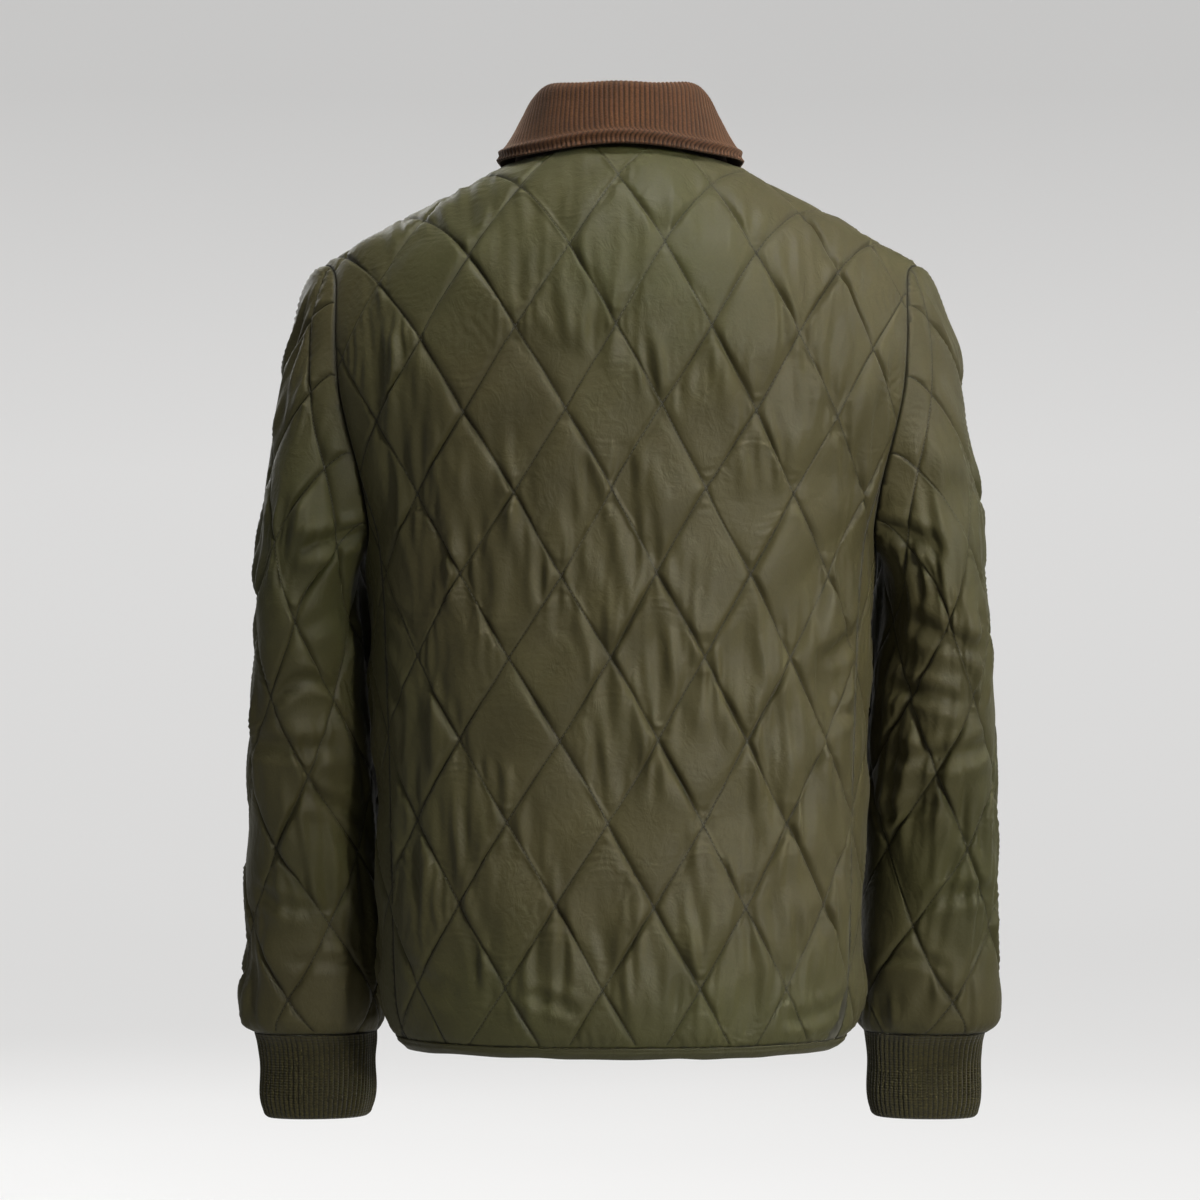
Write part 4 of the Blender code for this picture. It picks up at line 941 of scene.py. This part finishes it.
# ---- meshes ----
def mesh_piece(name, vertices, faces, material, weld=False, outward=False, mark=None):
    """A smooth mesh object of triangles or quads; the last argument gives each point a number from 0 to 1,
    which the materials turn into painted shade and painted highlight.
    """
    mesh = bpy.data.meshes.new(name)
    faces = np.asarray(faces, np.int32)
    mesh.vertices.add(len(vertices))
    mesh.vertices.foreach_set("co", np.asarray(vertices, np.float32).ravel())
    mesh.loops.add(faces.size)
    mesh.loops.foreach_set("vertex_index", faces.ravel())
    mesh.polygons.add(len(faces))
    mesh.polygons.foreach_set("loop_start", np.arange(0, faces.size, faces.shape[1], dtype=np.int32))
    mesh.update(calc_edges=True)
    mesh.validate()
    if mark is not None:
        values = mesh.attributes.new("mark", "FLOAT", "POINT").data
        values.foreach_set("value", np.asarray(mark, np.float32))
    if outward:
        work = bmesh.new()
        work.from_mesh(mesh)
        if weld:
            bmesh.ops.remove_doubles(work, verts=work.verts, dist=2e-6)
        bmesh.ops.recalc_face_normals(work, faces=work.faces)
        work.to_mesh(mesh)
        work.free()
    mesh.shade_smooth()
    mesh.materials.append(material)
    made = bpy.data.objects.new(name, mesh)
    bpy.context.scene.collection.objects.link(made)
    return made


def thread_piece(name, starts, ends, above, material):
    """Stitches as slim lozenges from start to end; above is a point over each start."""
    along = ends - starts
    up = unit(above - starts)
    across = unit(np.cross(along, up))
    rings = [starts]
    for share in (0.22, 0.78):
        middle = starts + along * share
        for turn in np.arange(4) * math.pi / 2:
            rings.append(middle + STITCH_RADIUS * (across * math.cos(turn) + up * math.sin(turn)))
    vertices = np.stack(rings + [ends], axis=1)
    one = []
    for k in range(4):
        n = (k + 1) % 4
        one += [(0, 1 + n, 1 + k), (1 + k, 1 + n, 5 + n), (1 + k, 5 + n, 5 + k), (9, 5 + k, 5 + n)]
    faces = np.arange(len(starts))[:, None, None] * vertices.shape[1] + np.array(one)
    return mesh_piece(name, vertices.reshape(-1, 3), faces.reshape(-1, 3), material)


def through(keys, count, lengths=None):
    """Rows of a smooth line through key rows, spaced evenly along it."""
    keys = np.asarray(keys, float)
    if lengths is None:
        lengths = np.linalg.norm(np.diff(keys, axis=0), axis=-1)
        lengths = lengths.reshape(len(lengths), -1).mean(axis=1)

    def tall(values):
        return values.reshape((-1,) + (1,) * (keys.ndim - 1))
    at = running(lengths)
    slope = np.diff(keys, axis=0) / tall(lengths)
    before, after = tall(lengths[:-1]), tall(lengths[1:])
    middle = (slope[:-1] * after + slope[1:] * before) / (before + after)
    tangent = np.concatenate([slope[:1], middle, slope[-1:]])
    places = np.linspace(0, at[-1], count)
    i = np.clip(np.searchsorted(at, places, side="right") - 1, 0, len(lengths) - 1)
    t = tall((places - at[i]) / lengths[i])
    return hermite(t, keys[i], keys[i + 1], tangent[i], tangent[i + 1], tall(lengths[i]))


def grid_faces(rows, columns):
    """Quads of a grid of points stored row by row, whose last column joins its first."""
    row, column = np.meshgrid(np.arange(rows - 1), np.arange(columns), indexing="ij")
    after = (column + 1) % columns
    quads = np.stack([row * columns + column, row * columns + after,
                      (row + 1) * columns + after, (row + 1) * columns + column], axis=-1)
    return quads.reshape(-1, 4)


def halves(quads):
    return np.concatenate([quads[:, [0, 1, 2]], quads[:, [0, 2, 3]]])


def spokes(middle, count, first=0):
    """Triangles from one point to a ring of points."""
    ring = np.arange(count)
    return np.stack([np.full(count, middle), first + ring, first + (ring + 1) % count], axis=1)


def bar(name, outside, inside, material, mark=None):
    """A closed strip between an outside and an inside grid of points, stations by rows."""
    sections = np.concatenate([outside, inside[:, ::-1]], axis=1)
    stations, count = sections.shape[:2]
    start, end = np.arange(count // 2), count - 1 - np.arange(count // 2)
    cap = np.stack([start[:-1], start[1:], end[1:], end[:-1]], axis=1)
    faces = [grid_faces(stations, count), cap, (stations - 1) * count + cap[:, ::-1]]
    if mark is not None:
        mark = np.concatenate([mark, np.zeros(inside.shape[:2])], axis=1).ravel()
    return mesh_piece(name, sections.reshape(-1, 3), np.concatenate([halves(quads) for quads in faces]),
                      material, outward=True, mark=mark)


# ---- trims ----
def cuff_turns(count):
    """Turns that space a cuff's columns evenly round it."""
    fine = np.linspace(0.0, 2 * math.pi, 1441)
    _, outer, inner, deep, _ = CUFF_RINGS[2]
    x, y = oval(fine, (outer - inner) / 2, deep)
    run = running(np.hypot(np.diff(x), np.diff(y)))
    return np.interp(np.arange(count) / count * run[-1], run, fine)


def cuff_rows(picks, count):
    """Rows of the cuff's ring table, spaced evenly down its profile."""
    table = np.array([CUFF_RINGS[k] for k in picks])
    return through(table, count, np.hypot(np.diff(table[:, 0]), np.diff(table[:, 1])))


def make_cuff(name, side, material, seed):
    """A rib cuff: the ribs fan out under the seam and wander a little on their way down."""
    rng = np.random.default_rng(seed)
    columns = CUFF_RIBS * RIB_COLUMNS
    turns = cuff_turns(columns)
    rib = np.abs(np.cos(math.pi * (np.arange(columns) / RIB_COLUMNS))) ** 0.75
    wander = soft_noise(rng, (CUFF_ROWS, columns), (4, 14)) * RIB_WANDER
    wide = 1 + 0.35 * soft_noise(rng, (1, columns), (1, CUFF_RIBS // 2))[0]
    gathers = soft_noise(rng, (CUFF_ROWS, columns), (2, 26)) * CUFF_GATHER
    gathers = gathers * (1 - np.linspace(0, 1, CUFF_ROWS)[:, None]) ** 2
    rings = []
    for k, row in enumerate(cuff_rows(range(len(CUFF_RINGS)), CUFF_ROWS)):
        height, outer, inner, deep, rib_share = row
        bulge = rib * CUFF_RIB_HEIGHT * wide * rib_share * 1.1 + gathers[k] + wander[k] * 0.25
        rings.append(level_ring(turns + wander[k] * 4, height, outer, inner, CUFF_MIDDLE_Y, deep, bulge))
    for height, outer, inner, deep, _ in cuff_rows((0, 2, 3, 5), 8)[::-1]:
        rings.append(level_ring(turns, height, outer, inner, CUFF_MIDDLE_Y, deep, -CUFF_WALL))
    edge = grid_faces(2, columns)[:, :2]
    closing = np.concatenate([(len(rings) - 1) * columns + edge, edge[:, ::-1]], axis=1)
    faces = halves(np.concatenate([grid_faces(len(rings), columns), closing]))
    vertices = np.concatenate(rings) * (side, 1, 1)
    # The rib values also carry painted shade: the rib valleys are painted darker and the rib tops slightly
    # lighter.
    return mesh_piece(name + "_rib", vertices, faces, material, outward=True, mark=np.tile(rib, len(rings)))


def make_hem_binding(material, seed):
    """A narrow strip round the hem, open at the centre front, puckered by its stitching."""
    rng = np.random.default_rng(seed)
    end = HALF_GIRTH - SEAM_GAP / 2
    u = steps_between(-end, end, BINDING_STEP)
    top = PANEL_BOTTOM + BINDING_OVERLAP
    share = np.linspace(0.0, 1.0, BINDING_ROWS)
    pucker = soft_noise(rng, (len(u), BINDING_ROWS), (len(u) // 4, 3)) * 0.0005
    pucker = pucker * np.sin(math.pi * np.clip(share, 0.05, 0.95))
    lift = soft_noise(rng, (len(u), 1), (60, 1))[:, 0] * 0.0007
    puff = np.sin(math.pi * share) ** 0.7 * BINDING_PUFF
    groove = BINDING_GROOVE * np.exp(-((share - 0.30) / 0.10) ** 2)
    relief = BINDING_CLEAR + puff - groove + pucker

    def strip(down, height):
        skin, out = body_cloth(points(u, top + (HEM - top) * down + lift * down))
        out[:, 2] = 0.0
        return skin + unit(out) * np.reshape(height, (-1, 1))
    outside = [strip(down, relief[:, k]) for k, down in enumerate(share)]
    inside = [strip(down, -WALL - 0.0006 * math.sin(math.pi * down)) for down in (0.0, 0.5, 1.0)]
    return bar("hem_binding_strip", np.stack(outside, axis=1), np.stack(inside, axis=1), material)


def placket_skin(u, v, offset):
    """Points over the centre front; u is the distance from its middle."""
    skin, out = body_cloth(points(np.sign(u) * HALF_GIRTH - u, v))
    return skin + out * np.reshape(offset, (-1, 1))


def make_placket(material, seed):
    """The strip over the front opening, with two rows of topstitching."""
    rng = np.random.default_rng(seed)
    neck_u, neck_v = neck_line(True, 40).T
    across = np.linspace(-1, 1, PLACKET_COLUMNS) * PLACKET_HALF_WIDTH
    tops = np.interp(HALF_GIRTH - np.abs(across), neck_u, neck_v) - PLACKET_TOP_CLEAR
    edge = PLACKET_HALF_WIDTH - np.abs(across)
    shape = (PLACKET_ROWS, PLACKET_COLUMNS)
    pucker = soft_noise(rng, shape, (100, 8)) * 0.00055
    pucker = pucker * (0.3 + np.exp(-((edge - 0.005) / 0.003) ** 2))
    wave = soft_noise(rng, shape, (14, 2)) * 0.0005
    height = PLACKET_INSIDE + PLACKET_EDGE + PLACKET_PAD * smoothstep(edge / 0.003)
    height = height - TOPSTITCH_DEPTH * np.exp(-((edge - TOPSTITCH_EDGE) / 0.0011) ** 2)
    height = height + (pucker + wave) * smoothstep(edge / 0.004)
    lines = [PANEL_BOTTOM + (tops - PANEL_BOTTOM) * row for row in np.linspace(0.0, 1.0, PLACKET_ROWS)]
    outside = [placket_skin(across, v, high) for v, high in zip(lines, height)]
    inside = [placket_skin(across, v, PLACKET_INSIDE) for v in lines]
    return bar("placket_strip", np.stack(outside), np.stack(inside), material)


def make_snap(name, height, material):
    """A domed cap with a rolled rim, lying on the placket."""
    middle, upper = (placket_skin(np.array([-SEAM_GAP]), np.array([v]), PLACKET_OUTSIDE + SEAM_GAP)[0]
                     for v in (height, height + SNAP_RADIUS))
    right = np.array((1.0, 0.0, 0.0))
    tangent = unit(upper - middle)
    out = unit(np.cross(right, tangent)) * SNAP_HEIGHT
    angle = (np.arange(SNAP_SIDES) * 2 * math.pi / SNAP_SIDES)[:, None]
    circle = (np.cos(angle) * right + np.sin(angle) * tangent) * SNAP_RADIUS
    rings = [middle + circle * radius + out * lift for radius, lift in SNAP_PROFILE]
    vertices = np.concatenate(rings + [np.stack([middle, middle + out])])
    bottom, top = len(vertices) - 2, len(vertices) - 1
    faces = [halves(grid_faces(len(rings), SNAP_SIDES)), spokes(bottom, SNAP_SIDES)[:, [0, 2, 1]],
             spokes(top, SNAP_SIDES, first=bottom - SNAP_SIDES)]
    return mesh_piece(name + "_cap", vertices, np.concatenate(faces), material, outward=True)


# ---- the collar ----
def neck_ring(turn):
    """Neck seam at turns from the centre back, 0, to the centre front, pi, on the left half."""
    front = turn > math.pi / 2
    return body_cloth(neck_places(np.where(front, math.pi - turn, turn), front))[0]


def collar_lines(share):
    """Key points of the middle of the collar's wall at stations from one end, -1, to the other."""
    back_out, back_up, side_out, side_up, front_out, front_up, raised, lift = (
        np.array([row[k] for row in COLLAR_PROFILES]) for k in range(1, 9))
    fall = np.arange(len(raised)) - COLLAR_FALL_START
    end_x = COLLAR_END_SEAM + (COLLAR_END_EDGE - COLLAR_END_SEAM) * np.clip(fall / fall[-1], 0, 1)
    end_turn = math.pi - np.arcsin(end_x / NECK_HALF_WIDTH)
    lines = []
    for k in range(len(raised)):
        turn = np.abs(share) * end_turn[k]
        ahead = (neck_ring(np.minimum(turn + COLLAR_STEP, math.pi - 1e-4))
                 - neck_ring(np.maximum(turn - COLLAR_STEP, 1e-4)))
        to_side = smoothstep(turn / (math.pi / 2))
        to_front = smoothstep((turn - math.pi / 2) / COLLAR_FRONT_TURN) ** COLLAR_FRONT_DELAY
        out, up = (back[k] * (1 - to_side) + (side[k] * (1 - to_front) + front[k] * to_front) * to_side
                   for back, side, front in ((back_out, side_out, front_out), (back_up, side_up, front_up)))
        corner = COLLAR_CORNER * np.exp(-((turn - CORNER_TURN) / CORNER_SPREAD) ** 2) * lift[k]
        line = neck_ring(turn) + np.column_stack([unit(left_of(ahead)) * out[:, None], up + corner])
        line[:, 0] *= np.where(share >= 0, 1.0, -1.0)
        lines.append(line)
    return np.stack(lines), raised


def even_shares(count):
    """Station places that split the collar's fold into equal lengths."""
    share = np.linspace(-1.0, 1.0, 601)
    fold = collar_lines(share)[0][COLLAR_FALL_START + 1]
    run = running(np.linalg.norm(np.diff(fold, axis=0), axis=1))
    return np.interp(np.linspace(0, run[-1], count), run, share)


def make_collar(material, seed):
    """Corduroy folded over; wales run from the fold to the edge, which is turned and stitched."""
    rng = np.random.default_rng(seed)
    stations = WALES * WALE_COLUMNS + 1
    shape = (COLLAR_ROWS, stations)
    lines, raised = collar_lines(even_shares(stations))
    middle = through(lines, COLLAR_ROWS)
    edge = through(raised, COLLAR_ROWS, np.linalg.norm(np.diff(lines, axis=0), axis=-1).mean(axis=1))
    out = unit(np.cross(np.gradient(middle, axis=1), np.gradient(middle, axis=0)))
    share = np.linspace(0, 1, COLLAR_ROWS)[:, None]
    lean = soft_noise(rng, shape, (3, 30)) * 0.22
    slant = 0.9 * np.exp(-((share - 0.885) / 0.03) ** 2)
    wale = np.abs(np.cos(math.pi * (np.arange(stations) / WALE_COLUMNS + lean + slant))) ** 0.8
    strength = WALE_HEIGHT * (1 + 0.25 * soft_noise(rng, shape, (5, 60)))
    teeth = 1 + smoothstep((share - 0.93) / 0.03)
    height = COLLAR_WALL / 2 - WALE_HEIGHT + COLLAR_RIDGE * edge[:, None] * 1.8
    height = height + wale * strength * teeth + soft_noise(rng, shape, (3, 22)) * 0.0006
    outside = middle + out * height[..., None]
    inner_rows = np.linspace(0, COLLAR_ROWS - 1, COLLAR_INNER_ROWS).astype(int)
    inside = middle[inner_rows] - out[inner_rows] * COLLAR_WALL / 2
    # The wale values carry the corduroy's painted highlight and painted shade.
    return bar("collar_corduroy", outside.transpose(1, 0, 2), inside.transpose(1, 0, 2), material, wale.T)


# ---- materials ----
class Shader:
    """A material's nodes, added and joined by name."""

    def __init__(self, name):
        self.material = bpy.data.materials.new(name)
        self.material.use_nodes = True
        self.tree = self.material.node_tree
        self.main = self.tree.nodes["Principled BSDF"]

    def add(self, kind, **values):
        node = self.tree.nodes.new("ShaderNode" + kind)
        for key, value in values.items():
            if hasattr(node, key):
                setattr(node, key, value)
            else:
                node.inputs[key.replace("_", " ")].default_value = value
        return node

    def join(self, source, output, node, socket):
        self.tree.links.new(source.outputs[output], node.inputs[socket])

    def noise(self, scale, detail=2.0, rough=0.5, stretch=(1, 1, 1), distortion=0.0):
        node = self.add("TexNoise", Scale=scale, Detail=detail, Roughness=rough, Distortion=distortion)
        places = self.add("Mapping", Scale=stretch)
        self.join(self.add("TexCoord"), "Object", places, "Vector")
        self.join(places, "Vector", node, "Vector")
        return node

    def mark(self):
        # Each point's painted shading: seams, stitch lines, rib valleys and wale furrows are painted darker.
        return self.add("Attribute", attribute_name="mark")

    def ramp(self, source, stops, output="Fac"):
        """Colours or greys at places along a node's output."""
        node = self.add("ValToRGB")
        while len(node.color_ramp.elements) < len(stops):
            node.color_ramp.elements.new(0.5)
        for element, (place, colour) in zip(node.color_ramp.elements, stops):
            element.position = place
            colour = colour if hasattr(colour, "__len__") else (colour,) * 3
            element.color = (*colour, 1.0)
        self.join(source, output, node, "Fac")
        return node

    def blend(self, first, second, share, kind="MIX"):
        """A mix of two colours; each is a value or a node, and so is the share."""
        mix = self.add("Mix", data_type="RGBA", blend_type=kind)
        for source, socket in ((share, 0), (first, 6), (second, 7)):
            if hasattr(source, "outputs"):
                self.join(source, 2 if source.bl_idname == "ShaderNodeMix" else 0, mix, socket)
            else:
                mix.inputs[socket].default_value = (*source, 1.0) if socket else source
        return mix

    def coloured(self, base, *shades):
        """The material's colour: a base, dimmed and lit by ramps over other nodes."""
        for source, stops in shades:
            base = self.blend(base, self.ramp(source, stops), 1.0, "MULTIPLY")
        self.join(base, 2 if shades else 0, self.main, "Base Color")

    def bump(self, *layers):
        """Chain of bumps: (node, strength, distance) from coarse to fine."""
        before = None
        for node, strength, distance in layers:
            made = self.add("Bump", Strength=strength, Distance=distance)
            self.join(node, "Fac", made, "Height")
            if before is not None:
                self.join(before, "Normal", made, "Normal")
            before = made
        self.join(before, "Normal", self.main, "Normal")

    def plain(self, **values):
        for key, value in values.items():
            self.main.inputs[key.replace("_", " ")].default_value = value


def nylon_material(name, green, brown, gloss):
    """Matt olive nylon with a faint sheen, browner and greener by large soft areas, and painted shade along
    its seams and stitch lines.
    """
    shader = Shader(name)
    tint = shader.ramp(shader.noise(4.2, 1.5, 0.45), ((0.38, 0.0), (0.62, 1.0)))
    shader.coloured(shader.blend(green, brown, tint),
                    (shader.noise(23.0, 4.0, 0.6), ((0.25, 0.86), (0.75, 1.12))),
                    (shader.noise(900.0, 2.0, 0.6), ((0.3, 0.90), (0.7, 1.10))),
                    # Painted shade: darker along the seams and stitch lines, where their grooves are in
                    # shade.
                    (shader.mark(), ((0.25, 1.0), (0.8, 0.35))))
    rough = shader.ramp(shader.noise(38.0, 3.0, 0.55), ((0.3, gloss - 0.05), (0.7, gloss + 0.08)))
    shader.join(rough, 0, shader.main, "Roughness")
    shader.bump((shader.noise(74.0, 3.0, 0.58, (1.0, 1.0, 0.7), 1.1), 0.7, 0.0011),
                (shader.noise(170.0, 3.0, 0.62, (1.0, 1.0, 1.35), 0.4), 0.45, 0.0006),
                (shader.noise(1500.0, 1.0, 0.5), 0.18, 0.0002))
    shader.plain(Sheen_Weight=0.05, Sheen_Roughness=0.4, Specular_IOR_Level=0.14,
                 Sheen_Tint=(0.62, 0.60, 0.48, 1.0))
    return shader.material


def rib_material():
    shader = Shader("rib_knit")
    loops = shader.noise(420.0, 2.0, 0.5, (1.0, 1.0, 1.6))
    tone = shader.ramp(loops, ((0.3, (0.0095, 0.0080, 0.0014)), (0.75, (0.0225, 0.0190, 0.0036))))
    shader.coloured(tone, (shader.noise(14.0, 3.0, 0.5), ((0.3, 0.85), (0.7, 1.15))),
                    # Painted shade in the rib valleys, with a faint painted highlight on the rib tops.
                    (shader.mark(), ((0.1, 0.35), (0.7, 1.1))))
    rows = shader.add("TexWave", Scale=150.0, Distortion=2.5, Detail=1.0, bands_direction="Z")
    shader.join(shader.add("TexCoord"), "Object", rows, "Vector")
    shader.bump((rows, 0.5, 0.0006), (loops, 0.5, 0.0004))
    shader.plain(Roughness=0.93, Sheen_Weight=0.08, Sheen_Roughness=0.6, Specular_IOR_Level=0.12)
    return shader.material


def corduroy_material():
    """Brown corduroy; the wale tips are painted paler as painted highlight, and the furrows darker as painted
    shade.
    """
    shader = Shader("corduroy")
    pile = shader.noise(650.0, 3.0, 0.65)
    tone = shader.ramp(pile, ((0.25, (0.015, 0.0058, 0.0015)), (0.8, (0.036, 0.0150, 0.0046))))
    shader.coloured(tone, (shader.noise(22.0, 3.0, 0.55), ((0.3, 0.62), (0.7, 1.4))),
                    # Painted highlight on the wale tips and painted shade in the furrows between them.
                    (shader.mark(), ((0.15, (0.22, 0.20, 0.18)), (0.95, (1.5, 1.42, 1.36)))))
    shader.bump((pile, 0.6, 0.0005))
    shader.plain(Roughness=0.88, Sheen_Weight=0.15, Sheen_Roughness=0.4, Specular_IOR_Level=0.2,
                 Sheen_Tint=(0.80, 0.52, 0.34, 1.0))
    return shader.material


def thread_material():
    shader = Shader("olive_thread")
    twist = shader.noise(1400.0, 2.0, 0.5)
    shader.coloured(shader.ramp(twist, ((0.3, (0.010, 0.009, 0.004)), (0.7, (0.022, 0.020, 0.010)))))
    shader.plain(Roughness=0.6, Specular_IOR_Level=0.35)
    return shader.material


def brass_material():
    shader = Shader("snap_brass")
    patina = shader.noise(260.0, 3.0, 0.6)
    shader.coloured(shader.ramp(patina, ((0.3, (0.13, 0.10, 0.055)), (0.7, (0.24, 0.185, 0.10)))))
    shader.join(shader.ramp(patina, ((0.3, 0.30), (0.7, 0.46))), 0, shader.main, "Roughness")
    shader.bump((shader.noise(900.0, 2.0, 0.5, (1.0, 1.0, 4.0)), 0.2, 0.0002))
    shader.plain(Metallic=1.0)
    return shader.material


# ---- stage ----
def make_stage():
    """A pale floor that turns up into a wall far off, the same all round."""
    shader = Shader("pale_backdrop")
    shader.coloured(shader.ramp(shader.noise(0.8, 2.0, 0.5), ((0.3, 0.21), (0.7, 0.23))))
    shader.plain(Roughness=0.95, Specular_IOR_Level=0.1, Emission_Strength=0.60)
    height = shader.add("SeparateXYZ")
    shader.join(shader.add("TexCoord"), "Object", height, "Vector")
    # Painted shade on the glowing backdrop: its glow is brightest near the floor and darker towards the top.
    fall = shader.ramp(height, ((0.0, (1.0, 0.995, 0.99)), (0.35, (0.93, 0.925, 0.92)),
                                (1.0, (0.78, 0.776, 0.77))), "Z")
    share = shader.ramp(shader.add("LightPath"), ((0.0, BACKDROP_FILL), (1.0, 1.0)), "Is Camera Ray")
    shader.join(shader.blend(fall, share, 1.0, "MULTIPLY"), 2, shader.main, "Emission Color")
    angle = np.arange(STAGE_SIDES) * 2 * math.pi / STAGE_SIDES
    rings = [np.stack([r * np.cos(angle), r * np.sin(angle), STAGE_FLOOR + h + 0 * angle], axis=-1)
             for r, h in through(STAGE_PROFILE, 40)]
    vertices = np.concatenate(rings + [np.array([[0.0, 0.0, STAGE_FLOOR]])])
    wall = halves(grid_faces(len(rings), STAGE_SIDES))[:, ::-1]
    faces = np.concatenate([wall, spokes(len(vertices) - 1, STAGE_SIDES)])
    mesh_piece("backdrop", vertices, faces, shader.material)


def add_light(name, place, aim, size, power, colour=(1.0, 1.0, 1.0), tall=None, spread=math.pi):
    """A soft light; a tall one is a strip, and a small spread is a grid before it."""
    data = bpy.data.lights.new(name, "AREA")
    data.shape = "RECTANGLE" if tall else "DISK"
    data.size = size
    data.size_y = tall or size
    data.spread = spread
    data.energy = power
    data.color = colour
    light = bpy.data.objects.new(name, data)
    light.visible_camera = False
    light.location = place
    light.rotation_euler = (Vector(aim) - Vector(place)).to_track_quat("-Z", "Y").to_euler()
    bpy.context.scene.collection.objects.link(light)


def make_lights():
    middle, warm, narrow = (0.0, 0.0, -0.33), (1.0, 0.985, 0.95), math.radians(14)
    add_light("key", (-2.1, 2.8, 0.4), (-0.20, 0.0, -0.33), 0.3, 3.6, warm, 2.2, narrow)
    add_light("key_middle", (-1.7, 3.05, 0.4), (0.02, 0.0, -0.33), 0.3, 3.5, warm, 2.2, narrow)
    add_light("top", (-0.7, 0.9, 2.8), middle, 1.2, 190.0, (1.0, 0.99, 0.96))
    add_light("side", (-3.2, -0.9, 1.0), middle, 1.6, 40.0)
    add_light("front", (1.6, -3.0, 1.2), middle, 1.8, 60.0)
    world = bpy.data.worlds.new("studio")
    world.use_nodes = True
    sky = world.node_tree.nodes["Background"]
    sky.inputs["Color"].default_value = (*warm, 1.0)
    sky.inputs["Strength"].default_value = 0.26
    bpy.context.scene.world = world
    bpy.context.scene.view_settings.view_transform = "Standard"


def make_camera():
    data = bpy.data.cameras.new("photo_camera")
    data.sensor_width = SENSOR
    data.lens = SENSOR * PHOTO_DISTANCE / (PHOTO_PIXELS * PHOTO_SCALE)
    camera = bpy.data.objects.new("photo_camera", data)
    camera.location = (PHOTO_CENTRE[0], PHOTO_DISTANCE, PHOTO_CENTRE[1])
    camera.rotation_euler = (math.pi / 2, 0.0, math.pi)
    bpy.context.scene.collection.objects.link(camera)
    bpy.context.scene.camera = camera


# ---- the jacket ----
def dress(piece, nodes=()):
    """A piece rides on the one body and stands for CAD nodes, which are hidden."""
    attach(piece, "root")
    if nodes:
        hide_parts(*nodes)
    return piece


def flat_size(outline):
    """Width, length and area of a cut piece, from its outline."""
    width, length = outline.max(axis=0) - outline.min(axis=0)
    u, v = outline.T
    area = abs(np.sum(u * np.roll(v, -1) - v * np.roll(u, -1))) / 2
    return (float(width), float(length)), float(area)


def quilted_panels():
    """The back, the fronts and the sleeves, each laid out in its pattern and simulated."""
    placket_edge = HALF_GIRTH - PLACKET_HALF_WIDTH - PLACKET_CLEAR
    front = front_outline()
    sleeve, sewn = sleeve_outline()
    yield Panel("back", inset(back_outline(), SEAM_GAP / 2), body_lattice, body_skin, 11, spread=body_spread)
    for name, side in (("left", 1), ("right", -1)):
        cut, arm, joined = front, sleeve, sewn
        if side < 0:
            cut, arm = front[::-1] * (-1, 1), sleeve[::-1] * (-1, 1)
            joined = {(len(sleeve) - 2 - i) % len(sleeve) for i in sewn}

        def lattice(p, q, side=side):
            u, v = sleeve_lattice(p, q)
            return u * side, v
        yield Panel("front_" + name, inset(cut, SEAM_GAP / 2), body_lattice, body_skin,
                    20 + side, loft_edge=placket_edge, spread=body_spread)
        yield Panel("sleeve_" + name, arm, lattice, sleeve_skin, 30 + side, side, joined)


def main():
    nylon = nylon_material("nylon_quilting", (0.0288, 0.0276, 0.0096), (0.0310, 0.0266, 0.0102), 0.58)
    trim = nylon_material("nylon_binding", (0.024, 0.023, 0.009), (0.027, 0.022, 0.010), 0.55)
    thread, rib, corduroy, brass = thread_material(), rib_material(), corduroy_material(), brass_material()
    for panel in quilted_panels():
        shell = dress(panel.shell(nylon), [panel.name])
        sewing = dress(panel.stitches(thread))
        size, area = flat_size(panel.outline)
    for name, side in (("cuff_left", 1), ("cuff_right", -1)):
        cuff = dress(make_cuff(name, side, rib, 40 + side), [name])
    collar = dress(make_collar(corduroy, 50), ["collar"])
    binding = dress(make_hem_binding(trim, 60), ["hem_binding"])
    placket = dress(make_placket(trim, 70), ["placket"])
    for index, height in enumerate(np.linspace(SNAP_TOP, SNAP_BOTTOM, SNAP_COUNT)):
        name = f"snap_{index + 1}"
        dress(make_snap(name, height, brass), [name])
    make_camera()
    make_lights()
    make_stage()


main()
